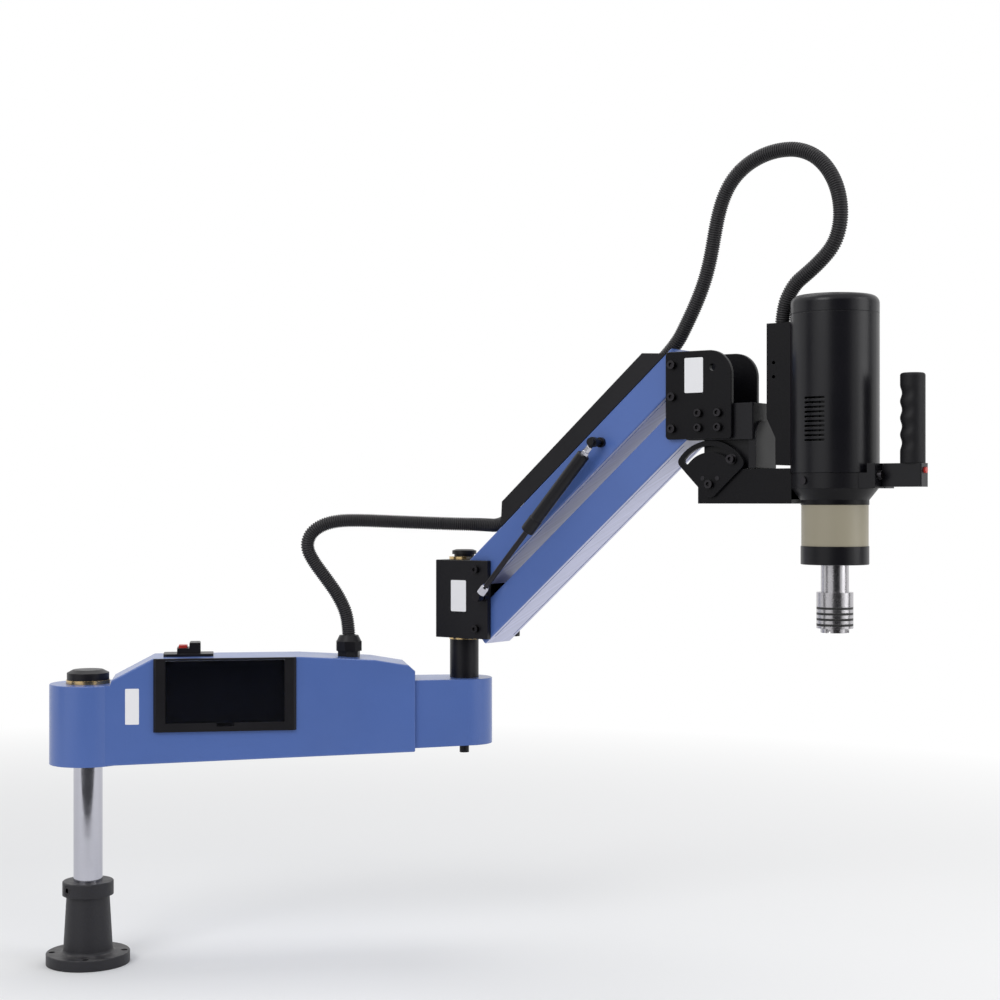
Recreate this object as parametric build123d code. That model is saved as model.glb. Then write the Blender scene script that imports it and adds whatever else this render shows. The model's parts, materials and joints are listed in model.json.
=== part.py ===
"""Arm tapping machine: a swivelling lower arm on a chromed column, a parallelogram upper arm
held up by a gas spring, and an electric tapping head on a tilting bracket.

Millimetres, +Z up. Row frame: origin at the centre of the base's foot, +X along the lower arm.
Swing frame: x = u along the upper arm seen from above, y = v across it, z up, on the elbow axis.
Link frame: x = s along an arm bar from its lower pivot, y = v, z = p square to the bar.
"""
from build123d import *
import math
import os

# ---------------------------------------------------------------- driving dimensions
# Base and column
FLANGE_R = 67.5
FLANGE_T = 18.0
BASE_BOLT_PCD = 116.0
BASE_BOLT_R = 5.5
BASE_BOLTS = 4
CONE_FOOT_R = 40.0
CONE_TOP_R = 34.5
CONE_H = 93.5
ROOT_R = 6.0
COLLAR_R = 41.2
COLLAR_H = 22.5
BORE_FLOOR_T = 12.0
COLUMN_R = 23.5
COLUMN_BORE_R = 11.0
LOCK_SCREW_R = 5.0
LOCK_HEAD_R = 8.0
LOCK_HEAD_H = 6.0
LOCK_HEX_R = 4.6
LOCK_SCREW_ANGLES = (-141.0, 39.0)
JOURNAL_R = 17.0
BUSH_WALL = 4.0
BUSH_LEN = 30.0
RUNNING = 0.05
SEAT = 0.2
SLIP = 0.3

# Lower arm
LOWER_ARM_LEN = 622.0
ARM_BOTTOM_Z = 327.0
BOSS_R = 62.0
BOSS_H = 130.0
BOX_HALF_W = 54.0
BOX_H = 173.0
BOX_SLOPE_START_X = 41.0
BOX_SLOPE_LIFT = 9.0
BOX_PLATEAU_START_X = 106.0
BOX_PLATEAU_END_X = 345.0
BOX_SHOULDER_X = 522.0
BOX_SHOULDER_DROP = 16.5
BOX_SHOULDER_BEVEL = 10.0
UNDERSIDE_RISE = 13.0
END_STEP_X = 533.0
END_STEP_H = 5.0
END_RISE = 3.0
ARM_END_R = 47.0
ARM_END_LIFT = 1.0
CASE_EDGE_R = 2.5
CASE_WALL = 4.0
CAVITY_START_X = 78.0
CAVITY_END_X = 515.0
CAP_R = 34.0
CAP_H = 16.5
RING_R = 35.3
RING_H = 6.0
PANEL_T = 2.5
PANEL_MARGIN = 12.0
PANEL_LAND = 20.0
PANEL_SCREW_R = 3.5
PANEL_SCREW_H = 2.2

# Drive and supply inside the lower arm
DRIVE_PLATE_LEN = 150.0
DRIVE_PLATE_HALF_W = 40.0
DRIVE_PLATE_T = 3.0
DRIVE_END_GAP = 15.0
DRIVE_EDGE = 6.0
DRIVE_LEN = 74.0
DRIVE_H = 81.0
DRIVE_HALF_W = 34.0
DRIVE_FINS = 6
SUPPLY_LEN = 58.0
SUPPLY_H = 47.0
SUPPLY_HALF_W = 30.0

# Screen window in the lower arm's front
BEZEL_X0 = 107.0
BEZEL_LEN = 230.0
BEZEL_H = 119.0
BEZEL_PROUD = 6.0
BEZEL_SIDE_W = 19.0
BEZEL_FOOT_W = 14.0
BEZEL_HEAD_W = 3.0
DOOR_T = 2.5
SCREEN_T = 15.0
LATCH_W = 26.0
LATCH_H = 12.0

# Switch and cable gland on the lower arm's top
SWITCH_X0 = 122.0
SWITCH_PLATE_LEN = 81.0
SWITCH_PLATE_W = 50.0
SWITCH_PLATE_T = 4.5
SWITCH_BODY_X0 = 144.0
SWITCH_BODY_LEN = 38.0
SWITCH_BODY_W = 40.0
SWITCH_BODY_H = 9.0
GUARD_LEN = 18.0
GUARD_H = 9.0
BUTTON_LEN = 15.0
BUTTON_W = 24.0
BUTTON_PROUD = 4.5
BUTTON_TRAVEL = 3.0
START_R = 5.5
GLAND_X = 427.0
GLAND_FALL = 7.0
GLAND_FALL_REACH = 40.0
GLAND_R = 19.5
GLAND_NUT_R = 22.5
GLAND_SINK = 12.0
GLAND_BODY_H = 17.0
GLAND_NUT_H = 26.0

# Hoses between the lower arm, the cable hood and the head
HOSE_R = 11.25
RIB_DEPTH = 1.7
HOSE_BORE_R = 8.0
RIB_PITCH = 5.6
HOSE_GRIP = 16.0
LOWER_HOSE_MIDDLE = [
    (411.5, 1, 594), (389, 3, 626), (367.5, 4, 655), (356.5, 4, 678), (362, 4, 700), (381, 3, 715),
    (409, 2, 722.5), (447, 0, 723), (494, -3, 721), (545, -8, 719), (597, -16, 717),
    (646, -27, 716),
]
UPPER_HOSE_MIDDLE = [
    (0.9, 68.9), (19.9, 104.9), (33.4, 137.9), (41.9, 169.9), (47.9, 200.9), (54.4, 230.9), (63.9, 258.9),
    (78.9, 283.4), (102, 303), (131, 315.5), (161, 320), (190, 317.5), (217, 305), (238, 283), (252, 255),
    (258, 224), (256, 194.5), (246, 169), (227, 149), (205, 131.5), (181, 115),
]

# Elbow
SWING_REST = -43.8
ELBOW_GAP = 69.4
ELBOW_BACK = 26.0
EAR_REACH = 23.0
EAR_T = 9.0
EAR_SLOT_BACK = 26.0
BLOCK_EDGE_R = 3.0
PIVOT_FOOT_H = 16.6
PIVOT_HEAD_H = 15.0
SHAFT_R = 24.3
ELBOW_RING_R = 25.5
ELBOW_RING_H = 4.5
ELBOW_CAP_R = 20.5
ELBOW_CAP_H = 8.0
ELBOW_NECK_H = 4.0
SHAFT_BOLT_R = 8.0
SHAFT_BOLT_H = 17.0

# Parallelogram
PIVOT_U = 58.5
PIVOT_DROP = 98.0
LINK_LEN = 491.0
LIFT_REST = 41.0
BAR_W = 74.0
BAR_H = 51.0
BAR_WALL = 3.0
BAR_GAP = 1.0
BAR_CORNER_R = 3.0
BAR_OVERRUN = 7.5
UPPER_BAR_TIP = 11.0
LOWER_BAR_TIP = 3.0
EYE_R = 15.0
EYE_BLOCK_LEN = 36.0
PIN_R = 8.0
PIN_BUSH_WALL = 3.0
SPACER_R = 5.5
HEAD_SCREW_R = 6.5
HEAD_SCREW_H = 7.0
HEX_R = 3.4
SCREW_SHANK_R = 4.0
GROOVE_W = 2.0
GROOVE_DEPTH = 0.8
GROOVE_INSET = 9.0
HOOD_S0 = 78.4
HOOD_S1 = 107.5
HOOD_END_RUN = 31.0
HOOD_RISE = 30.0
HOOD_WALL = 2.0

# Gas spring
GAS_STANDOFF = 15.0
GAS_EYE_REACH = 15.0
GAS_EYE_LIFT = 54.0
GAS_UPPER_S = 314.0
GAS_BODY_R = 10.5
GAS_BODY_LEN = 162.0
GAS_COLLAR_R = 11.3
GAS_COLLAR_LEN = 26.0
GAS_ROD_R = 4.5
GAS_EYE_R = 8.0
GAS_EYE_T = 9.0
GAS_NECK_R = 4.3
GAS_NECK_LEN = 26.0
GAS_FOOT_LEN = 14.0
GAS_STUD_R = 5.0
GAS_STUD_BASE_R = 8.0
GAS_STUD_BASE_T = 6.0

# End plates and end block, from the bars' upper pivots
CHEEK_BACK = 12.6
CHEEK_LEN = 113.5
CHEEK_DROP = 16.4
CHEEK_RISE = 20.0
CHEEK_T = 8.0
CHEEK_TOP_R = 38.0
CHEEK_FOOT_R = 6.0
CHEEK_HOLE_REACH = 68.9
CHEEK_HOLE_DROP = 6.0
CHEEK_HOLE_R = 5.4
CHEEK_SCREW_REACH = 46.0
CHEEK_SCREW_GAP_U = 33.5
CHEEK_SCREW_LIFT = 0.9
CHEEK_SCREW_GAP_Z = 22.0
CHEEK_SCREW_DEPTH = 14.0
END_BLOCK_REACH = 23.0
END_BLOCK_LEN = 110.0
END_BLOCK_DROP = 18.0
END_BLOCK_H = 55.0

# Tilting bracket and head bar
TILT_REACH = 60.0
TILT_DROP = 85.1
TILT_RANGE = 90.0
BRACKET_BACK = 17.0
BRACKET_GAP = 1.0
TONGUE_HALF_W = 33.6
TONGUE_T = 2.7
TONGUE_RISE = 28.9
TONGUE_TOP_R = 25.0
LUG_R = 20.0
HEAD_BAR_BACK = 23.7
HEAD_BAR_DROP = 29.5
HEAD_BAR_H = 52.5
HEAD_BAR_HALF_W = 31.5
HEAD_BAR_WALL = 6.5
HEAD_BAR_OPEN_LEN = 76.0
SECTOR_GAP = 0.7
SECTOR_T = 6.0
SECTOR_HUB_R = 14.0
SECTOR_HUB_DROP = 6.0
SECTOR_CORNER_R = 8.5
SECTOR_START = 18.0
SECTOR_END = 15.0
SLOT_R = 53.5
SLOT_W = 9.6
LOCK_ANGLE = 44.8
SLOT_SPARE = 4.0
LOCK_BOLT_R = 4.0
LOCK_BOSS_R = 9.0
LOCK_WASHER_R = 8.0
LOCK_WASHER_T = 2.0
DOWEL_R = 3.5
DOWEL_SPREAD = 12.5
DOWEL_LIFT = 9.0

# Tapping head
HEAD_REACH = 188.0
COVER_LIFT = 16.0
COVER_R = 65.0
COVER_WALL = 3.0
COVER_H = 261.0
COVER_TOP_R = 12.0
COVER_LID_H = 28.0
COVER_GAP = 0.5
VENT_COUNT = 10
VENT_PITCH = 6.84
VENT_H = 3.2
VENT_LEN = 32.0
VENT_LIFT = 45.4
VENT_ANGLE = -93.0
RING_CLAMP_R = 63.5
RING_CLAMP_H = 22.5
RING_SLIT_W = 3.0
RING_SCREW_R = 6.0
RING_SCREW_ANGLES = (-110.0, 110.0)
LUG_HALF_W = 35.0
LUG_REACH = 13.0
LUG_SCREW_V = 24.0
HOUSING_NECK_R = 55.0
HOUSING_CONE_H = 17.0
HOUSING_R = 50.0
HOUSING_LIP_H = 7.0
GEAR_RING_R = 49.0
GEAR_RING_H = 61.0
GEAR_RING_WALL = 9.0
GEAR_T = 18.0
NOSE_R = 50.0
NOSE_H = 27.0
NOSE_LIP_H = 7.0
SPINDLE_R = 20.5
SPINDLE_REACH = 41.0
SPINDLE_STEM_R = 15.0
SPINDLE_TOP_GAP = 7.0
BEARING_R = 26.0
BEARING_T = 15.0
CHUCK_SKIRT_EXTRA = 0.5
SLEEVE_WALL = 6.0
SLEEVE_H = 53.0
SLEEVE_GROOVES = 4
SLEEVE_GROOVE_PITCH = 8.2
SLEEVE_GROOVE_W = 3.4
SLEEVE_GROOVE_DEPTH = 1.2
CHUCK_TIP_H = 6.5
CHUCK_BORE_R = 15.5
CHUCK_BORE_LEN = 40.0
MOTOR_R = 50.0
MOTOR_H = 205.0
CABLE_BOX_DEPTH = 34.0
CABLE_BOX_WRAP = 10.0
CABLE_BOX_HALF_W = 25.0
CABLE_BOX_LIFT = 12.0
CABLE_BOX_H = 212.0
CABLE_BOX_WALL = 2.5
CABLE_BOX_STEP_U = 14.5
CABLE_BOX_STEP_LIFT = 52.5
CABLE_BOX_STEP_H = 30.2
CABLE_BOX_HOSE_REACH = 13.4

# Handle
HANDLE_DROP = 21.0
HANDLE_H = 34.0
HANDLE_HALF_W = 13.0
HANDLE_LEN = 61.0
GRIP_BACK = 18.0
GRIP_R = 18.0
GRIP_H = 130.0
GRIP_TURN = 43.8
GRIP_CORE_R = 6.0
GRIP_CORE_LEN = 60.0
GRIP_GROOVES = 4
GRIP_GROOVE_PITCH = 24.0
GRIP_GROOVE_R = 15.0
GRIP_GROOVE_DEPTH = 3.0
TRIGGER_R = 4.5
TRIGGER_PROUD = 3.0
TRIGGER_LIFT = 24.0
TRIGGER_WELL = 8.0

# ---------------------------------------------------------------- values that follow
BASE_H = FLANGE_T + CONE_H + COLLAR_H
BUSH_R = JOURNAL_R + BUSH_WALL
COLUMN_SHOULDER_Z = ARM_BOTTOM_Z + SEAT
BOSS_TOP_Z = ARM_BOTTOM_Z + BOSS_H
BOX_TOP_Z = ARM_BOTTOM_Z + BOX_H
BOX_SLOPE_FOOT_Z = BOSS_TOP_Z + BOX_SLOPE_LIFT
BOX_SHOULDER_Z = BOX_TOP_Z - BOX_SHOULDER_DROP
BOX_END_BOTTOM_Z = ARM_BOTTOM_Z + UNDERSIDE_RISE
END_STEP_BOTTOM_Z = BOX_END_BOTTOM_Z + END_STEP_H
END_BOTTOM_Z = END_STEP_BOTTOM_Z + END_RISE
ARM_END_TOP_Z = BOSS_TOP_Z + ARM_END_LIFT
BEZEL_Z0 = BOX_TOP_Z - BEZEL_H
GLAND_FALL_X = GLAND_X + GLAND_FALL_REACH
GLAND_TOP_Z = BOX_TOP_Z - GLAND_SINK + GLAND_BODY_H + GLAND_NUT_H
HOSE_END_R = HOSE_R - RIB_DEPTH
HOSE_P = BAR_H / 2 + HOSE_R + 1.25

ELBOW_BLOCK_Z0 = ARM_END_TOP_Z + ELBOW_GAP
LOWER_PIVOT_Z = ELBOW_BLOCK_Z0 + PIVOT_FOOT_H
UPPER_PIVOT_Z = LOWER_PIVOT_Z + PIVOT_DROP
ELBOW_TOP_Z = UPPER_PIVOT_Z + PIVOT_HEAD_H
ELBOW_BLOCK_U1 = PIVOT_U + EAR_REACH
ELBOW_SLOT_V = BAR_W / 2 + BAR_GAP
ELBOW_HALF_W = ELBOW_SLOT_V + EAR_T
SHAFT_SHOULDER_Z = ELBOW_BLOCK_Z0 - ELBOW_RING_H - SEAT
END_PIVOT_U = PIVOT_U + LINK_LEN * math.cos(math.radians(LIFT_REST))
UPPER_END_Z = UPPER_PIVOT_Z + LINK_LEN * math.sin(math.radians(LIFT_REST))
LOWER_END_Z = UPPER_END_Z - PIVOT_DROP
HOOD_S3 = LINK_LEN
HOOD_S2 = HOOD_S3 - HOOD_END_RUN

GAS_V = ELBOW_HALF_W + GAS_STANDOFF
GAS_LOWER_U = PIVOT_U + GAS_EYE_REACH
GAS_LOWER_Z = LOWER_PIVOT_Z + GAS_EYE_LIFT
GAS_RISE = UPPER_PIVOT_Z + GAS_UPPER_S * math.sin(math.radians(LIFT_REST)) - GAS_LOWER_Z
GAS_RUN = PIVOT_U + GAS_UPPER_S * math.cos(math.radians(LIFT_REST)) - GAS_LOWER_U
GAS_LEN = math.hypot(GAS_RUN, GAS_RISE)
GAS_ANGLE = math.degrees(math.atan2(GAS_RISE, GAS_RUN))

CHEEK_IN_V = ELBOW_SLOT_V
CHEEK_OUT_V = CHEEK_IN_V + CHEEK_T
CHEEK_U0 = END_PIVOT_U - CHEEK_BACK
CHEEK_U1 = CHEEK_U0 + CHEEK_LEN
CHEEK_Z0 = LOWER_END_Z - CHEEK_DROP
CHEEK_Z1 = UPPER_END_Z + CHEEK_RISE
CHEEK_SCREW_US = (END_PIVOT_U + CHEEK_SCREW_REACH, END_PIVOT_U + CHEEK_SCREW_REACH + CHEEK_SCREW_GAP_U)
CHEEK_SCREW_ZS = (LOWER_END_Z + CHEEK_SCREW_LIFT, LOWER_END_Z + CHEEK_SCREW_LIFT + CHEEK_SCREW_GAP_Z)
END_BLOCK_U0 = END_PIVOT_U + END_BLOCK_REACH
END_BLOCK_U1 = END_BLOCK_U0 + END_BLOCK_LEN
END_BLOCK_Z0 = LOWER_END_Z - END_BLOCK_DROP

TILT_U = END_PIVOT_U + TILT_REACH
TILT_Z = LOWER_END_Z - TILT_DROP
HEAD_BAR_U0 = TILT_U - HEAD_BAR_BACK
HEAD_BAR_CLOSED_U = TILT_U + HEAD_BAR_OPEN_LEN
HEAD_BAR_Z0 = TILT_Z - HEAD_BAR_DROP
HEAD_BAR_TOP_Z = HEAD_BAR_Z0 + HEAD_BAR_H
BRACKET_HALF_W = HEAD_BAR_HALF_W - HEAD_BAR_WALL - BRACKET_GAP
BRACKET_U0 = TILT_U - BRACKET_BACK
BRACKET_FOOT_Z = HEAD_BAR_TOP_Z + BRACKET_GAP
SECTOR_R = TILT_DROP - END_BLOCK_DROP - SECTOR_GAP
SECTOR_V = HEAD_BAR_HALF_W
PLATE_U0 = TILT_U + math.sqrt(SECTOR_R ** 2 - (BRACKET_FOOT_Z - TILT_Z) ** 2) + 1.5

HEAD_U = TILT_U + HEAD_REACH
COVER_Z0 = TILT_Z + COVER_LIFT
RING_CLAMP_Z0 = COVER_Z0 - COVER_GAP - RING_CLAMP_H
CONE_BOTTOM_Z = RING_CLAMP_Z0 - HOUSING_CONE_H
HOUSING_Z0 = CONE_BOTTOM_Z - HOUSING_LIP_H
GEAR_RING_Z0 = HOUSING_Z0 - GEAR_RING_H
NOSE_Z0 = GEAR_RING_Z0 - NOSE_H
SPINDLE_BOTTOM_Z = NOSE_Z0 - SPINDLE_REACH
SPINDLE_TOP_Z = COVER_Z0 - SPINDLE_TOP_GAP
SLEEVE_Z0 = SPINDLE_BOTTOM_Z - SLEEVE_H
CHUCK_TIP_Z = SLEEVE_Z0 - CHUCK_TIP_H
CHUCK_SKIRT_R = SPINDLE_R + CHUCK_SKIRT_EXTRA
SLEEVE_R = CHUCK_SKIRT_R + SLEEVE_WALL
CABLE_BOX_U0 = HEAD_U - COVER_R - CABLE_BOX_DEPTH
CABLE_BOX_U1 = HEAD_U - COVER_R + CABLE_BOX_WRAP
CABLE_BOX_Z0 = COVER_Z0 + CABLE_BOX_LIFT
CABLE_BOX_Z1 = CABLE_BOX_Z0 + CABLE_BOX_H
CABLE_BOX_STEP_Z0 = COVER_Z0 + CABLE_BOX_STEP_LIFT
CABLE_BOX_STEP_Z1 = CABLE_BOX_STEP_Z0 + CABLE_BOX_STEP_H
BOX_HOSE_U = CABLE_BOX_U0 + CABLE_BOX_HOSE_REACH

HANDLE_LUG_U1 = HEAD_U + COVER_R + LUG_REACH
HANDLE_END_U = HANDLE_LUG_U1 + HANDLE_LEN
HANDLE_Z0 = COVER_Z0 - HANDLE_DROP
HANDLE_TOP_Z = HANDLE_Z0 + HANDLE_H
GRIP_U = HANDLE_END_U - GRIP_BACK
TRIGGER_Z = HANDLE_Z0 + TRIGGER_LIFT

# ---------------------------------------------------------------- frames and helpers
SWING = Pos(LOWER_ARM_LEN, 0, 0) * Rot(0, 0, SWING_REST)
UPPER_LINK = SWING * Pos(PIVOT_U, 0, UPPER_PIVOT_Z) * Rot(0, -LIFT_REST, 0)
LOWER_LINK = SWING * Pos(PIVOT_U, 0, LOWER_PIVOT_Z) * Rot(0, -LIFT_REST, 0)
GAS = SWING * Pos(GAS_LOWER_U, -GAS_V, GAS_LOWER_Z) * Rot(0, -GAS_ANGLE, 0)
HEAD = SWING * Pos(HEAD_U, 0, 0)

os.makedirs("parts", exist_ok=True)


def save(shape, name):
    """Write one sub-part."""
    export_step(shape, f"parts/{name}.step")


def group(*solids):
    """Separate solids kept in one sub-part."""
    return Compound(children=list(solids))


def disc(radius, z0, height):
    """A round solid standing on z0."""
    return Pos(0, 0, z0 + height / 2) * Cylinder(radius, height)


def tube(radius, bore, z0, height):
    """A round solid with a bore through it."""
    return disc(radius, z0, height) - disc(bore, z0 - 1, height + 2)


def frustum(foot_r, top_r, z0, height):
    """A cone frustum standing on z0."""
    return Pos(0, 0, z0 + height / 2) * Cone(foot_r, top_r, height)


def block(x0, x1, y0, y1, z0, z1):
    """A rectangular solid between two corners."""
    centre = Pos((x0 + x1) / 2, (y0 + y1) / 2, (z0 + z1) / 2)
    return centre * Box(x1 - x0, y1 - y0, z1 - z0)


def across(radius, x, z, y0, y1):
    """A round solid whose axis runs along y."""
    return Pos(x, (y0 + y1) / 2, z) * Rot(90, 0, 0) * Cylinder(radius, abs(y1 - y0))


def along(radius, y, z, x0, x1):
    """A round solid whose axis runs along x."""
    return Pos((x0 + x1) / 2, y, z) * Rot(0, 90, 0) * Cylinder(radius, abs(x1 - x0))


def side_face(points):
    """A face in the XZ plane from (x, z) points."""
    outline = Polyline(*[(x, 0, z) for x, z in points], close=True)
    return make_face(outline)


def side_plate(points, y0, y1):
    """A plate with an outline in XZ, from y0 to y1."""
    return extrude(Pos(0, y0, 0) * side_face(points), amount=y1 - y0, dir=(0, 1, 0))


def socket_screw(x, z, face, out, length):
    """A cap screw along y: its head stands out of the plane y = face, and its shank goes in."""
    head = across(HEAD_SCREW_R, x, z, face, face + out * HEAD_SCREW_H)
    shank = across(SCREW_SHANK_R, x, z, face, face - out * length)
    hexagon = extrude(Rot(90, 0, 0) * RegularPolygon(HEX_R, 6), amount=HEAD_SCREW_H / 2, both=True)
    return head + shank - Pos(x, face + out * HEAD_SCREW_H, z) * hexagon


# ---------------------------------------------------------------- base and column
def base_stand():
    body = disc(FLANGE_R, 0, FLANGE_T)
    body = chamfer(body.edges().group_by(Axis.Z)[-1], 1.0)
    body += frustum(CONE_FOOT_R, CONE_TOP_R, FLANGE_T, CONE_H)
    roots = [e for e in body.edges().filter_by(GeomType.CIRCLE) if abs(e.radius - CONE_FOOT_R) < 0.01]
    body = fillet(roots, ROOT_R)
    collar = disc(COLLAR_R, BASE_H - COLLAR_H, COLLAR_H)
    collar = chamfer(collar.edges().group_by(Axis.Z)[-1], 1.2)
    body += collar
    body -= disc(COLUMN_R, BORE_FLOOR_T, BASE_H)
    for hole in PolarLocations(BASE_BOLT_PCD / 2, BASE_BOLTS):
        body -= hole * disc(BASE_BOLT_R, -1, FLANGE_T + 2)
    for angle in LOCK_SCREW_ANGLES:
        level = BASE_H - COLLAR_H / 2
        body -= Rot(0, 0, angle) * along(LOCK_SCREW_R, 0, level, COLUMN_R - 1, COLLAR_R)
        body -= Rot(0, 0, angle) * along(LOCK_HEAD_R + 0.5, 0, level, COLLAR_R - LOCK_HEAD_H, COLLAR_R + 1)
    return body


def lock_screws():
    level = BASE_H - COLLAR_H / 2
    screws = []
    for angle in LOCK_SCREW_ANGLES:
        shank = along(LOCK_SCREW_R, 0, level, COLUMN_R, COLLAR_R - LOCK_HEAD_H)
        head = along(LOCK_HEAD_R, 0, level, COLLAR_R - LOCK_HEAD_H, COLLAR_R - 0.5)
        hexagon = extrude(RegularPolygon(LOCK_HEX_R, 6), amount=4, both=True)
        socket = Pos(COLLAR_R, 0, level) * Rot(0, 90, 0) * hexagon
        screws.append(Rot(0, 0, angle) * (shank + head - socket))
    return group(*screws)


def column():
    body = disc(COLUMN_R, BORE_FLOOR_T, COLUMN_SHOULDER_Z - BORE_FLOOR_T)
    body += disc(JOURNAL_R, COLUMN_SHOULDER_Z, BOSS_TOP_Z + RING_H - COLUMN_SHOULDER_Z)
    return body - disc(COLUMN_BORE_R, BORE_FLOOR_T - 1, BOSS_TOP_Z)


def end_cap(radius, z0, height, spigot_r, spigot_len):
    """A black screw-on cap with a bevelled top, plugged into what it closes."""
    rim = disc(radius, z0, height)
    rim = chamfer(rim.edges().group_by(Axis.Z)[-1], height * 0.3, radius * 0.28)
    return rim + disc(spigot_r, z0 - spigot_len, spigot_len)


# ---------------------------------------------------------------- lower arm
def arm_bottom_z(x):
    """The lower arm's underside rises a little towards the elbow."""
    return ARM_BOTTOM_Z + (BOX_END_BOTTOM_Z - ARM_BOTTOM_Z) * x / END_STEP_X


def box_outline(inset=0.0, x0=0.0, x1=END_STEP_X):
    """The box section's side outline, drawn in by a wall's thickness."""
    top = BOX_TOP_Z - inset
    return [
        (x0 + inset, arm_bottom_z(x0) + inset),
        (x1 - inset, arm_bottom_z(x1) + inset),
        (x1 - inset, BOX_SHOULDER_Z - BOX_SHOULDER_BEVEL - inset),
        (BOX_SHOULDER_X - inset, BOX_SHOULDER_Z - inset),
        (GLAND_FALL_X, BOX_TOP_Z - GLAND_FALL - inset),
        (BOX_PLATEAU_END_X, top),
        (BOX_PLATEAU_START_X + inset, top),
        (BOX_SLOPE_START_X, BOX_SLOPE_FOOT_Z - inset),
        (BOX_SLOPE_START_X - 3, BOSS_TOP_Z),
        (x0 + inset, BOSS_TOP_Z),
    ]


def cavity_outline(grow=0.0):
    """The chamber for the drive, closed by the rear panel."""
    land = PANEL_LAND - grow
    top = BOX_TOP_Z - land
    return [
        (CAVITY_START_X + 16 - grow, arm_bottom_z(CAVITY_START_X) + land),
        (CAVITY_END_X - 16 + grow, arm_bottom_z(CAVITY_END_X) + land),
        (CAVITY_END_X - 16 + grow, BOX_SHOULDER_Z - land),
        (BOX_PLATEAU_END_X, top),
        (BOX_PLATEAU_START_X + 20 - grow / 2, top),
        (CAVITY_START_X + 16 - grow, BOX_SLOPE_FOOT_Z - land + 6),
    ]


def inner_outline():
    """The chamber's inside, one wall in from the box."""
    inset = CASE_WALL
    return [
        (CAVITY_START_X, arm_bottom_z(CAVITY_START_X) + inset),
        (CAVITY_END_X, arm_bottom_z(CAVITY_END_X) + inset),
        (CAVITY_END_X, BOX_SHOULDER_Z - inset),
        (GLAND_FALL_X, BOX_TOP_Z - GLAND_FALL - inset),
        (BOX_PLATEAU_END_X, BOX_TOP_Z - inset),
        (BOX_PLATEAU_START_X + inset, BOX_TOP_Z - inset),
        (CAVITY_START_X, BOX_SLOPE_FOOT_Z + 12),
    ]


def bezel_opening():
    """Low and high x and z of the screen's opening."""
    x0 = BEZEL_X0 + BEZEL_SIDE_W
    x1 = BEZEL_X0 + BEZEL_LEN - BEZEL_SIDE_W
    return x0, x1, BEZEL_Z0 + BEZEL_FOOT_W, BOX_TOP_Z - BEZEL_HEAD_W


def lower_arm_case():
    boss = disc(BOSS_R, ARM_BOTTOM_Z, BOSS_H)
    boss = chamfer(boss.edges().group_by(Axis.Z)[-1], 1.0)
    box = side_plate(box_outline(), -BOX_HALF_W, BOX_HALF_W)
    rims = box.faces().sort_by(Axis.Y)[0].edges() + box.faces().sort_by(Axis.Y)[-1].edges()
    rims = [e for e in rims if e.center().X > BOSS_R - 10]
    box = fillet(rims + box.edges().filter_by(Axis.Y).group_by(Axis.X)[-1], CASE_EDGE_R)
    end = side_plate(
        [(END_STEP_X - 10, END_STEP_BOTTOM_Z), (LOWER_ARM_LEN, END_BOTTOM_Z),
         (LOWER_ARM_LEN, ARM_END_TOP_Z), (END_STEP_X - 10, ARM_END_TOP_Z)],
        -ARM_END_R, ARM_END_R)
    end += Pos(LOWER_ARM_LEN, 0, 0) * disc(ARM_END_R, END_BOTTOM_Z, ARM_END_TOP_Z - END_BOTTOM_Z)
    end = chamfer(end.faces().sort_by(Axis.Z)[-1].edges(), 1.0)
    body = boss + box + end
    body -= side_plate(inner_outline(), -BOX_HALF_W + CASE_WALL, BOX_HALF_W - CASE_WALL)
    body -= side_plate(cavity_outline(), 0, BOX_HALF_W + 1)
    x0, x1, z0, z1 = bezel_opening()
    body -= block(x0, x1, -BOX_HALF_W - 1, 0, z0, min(z1, BOX_TOP_Z - CASE_WALL))
    body -= disc(COLUMN_R + RUNNING * 2, ARM_BOTTOM_Z - 1, 1 + SEAT)
    body -= disc(BUSH_R, ARM_BOTTOM_Z + SEAT, BOSS_H)
    body -= Pos(LOWER_ARM_LEN, 0, 0) * disc(JOURNAL_R, END_BOTTOM_Z - 1, BOSS_H + 20)
    body -= Pos(GLAND_X, 0, 0) * disc(HOSE_R, BOX_TOP_Z - 60, 80)
    return body


def rear_panel():
    return side_plate(cavity_outline(PANEL_MARGIN), BOX_HALF_W, BOX_HALF_W + PANEL_T)


def panel_screws():
    points = []
    for x in (CAVITY_START_X + 12, (CAVITY_START_X + CAVITY_END_X) / 2, CAVITY_END_X - 12):
        points.append((x, arm_bottom_z(x) + PANEL_LAND - PANEL_MARGIN / 2))
    points.append((CAVITY_START_X + 12, BOX_SLOPE_FOOT_Z - PANEL_LAND + 10))
    points.append((BOX_PLATEAU_START_X + 30, BOX_TOP_Z - PANEL_LAND + PANEL_MARGIN / 2))
    points.append((BOX_PLATEAU_END_X - 10, BOX_TOP_Z - PANEL_LAND + PANEL_MARGIN / 2))
    points.append((CAVITY_END_X - 12, BOX_SHOULDER_Z - PANEL_LAND + PANEL_MARGIN / 2))
    face = BOX_HALF_W + PANEL_T
    return group(*[across(PANEL_SCREW_R, x, z, face, face + PANEL_SCREW_H) for x, z in points])


def bushes(x, z_low, z_high):
    """Two plain bushes on one axis, one at each end of a boss."""
    low = tube(BUSH_R, JOURNAL_R + RUNNING, z_low, BUSH_LEN)
    high = tube(BUSH_R, JOURNAL_R + RUNNING, z_high - BUSH_LEN, BUSH_LEN)
    return group(Pos(x, 0, 0) * low, Pos(x, 0, 0) * high)


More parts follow.
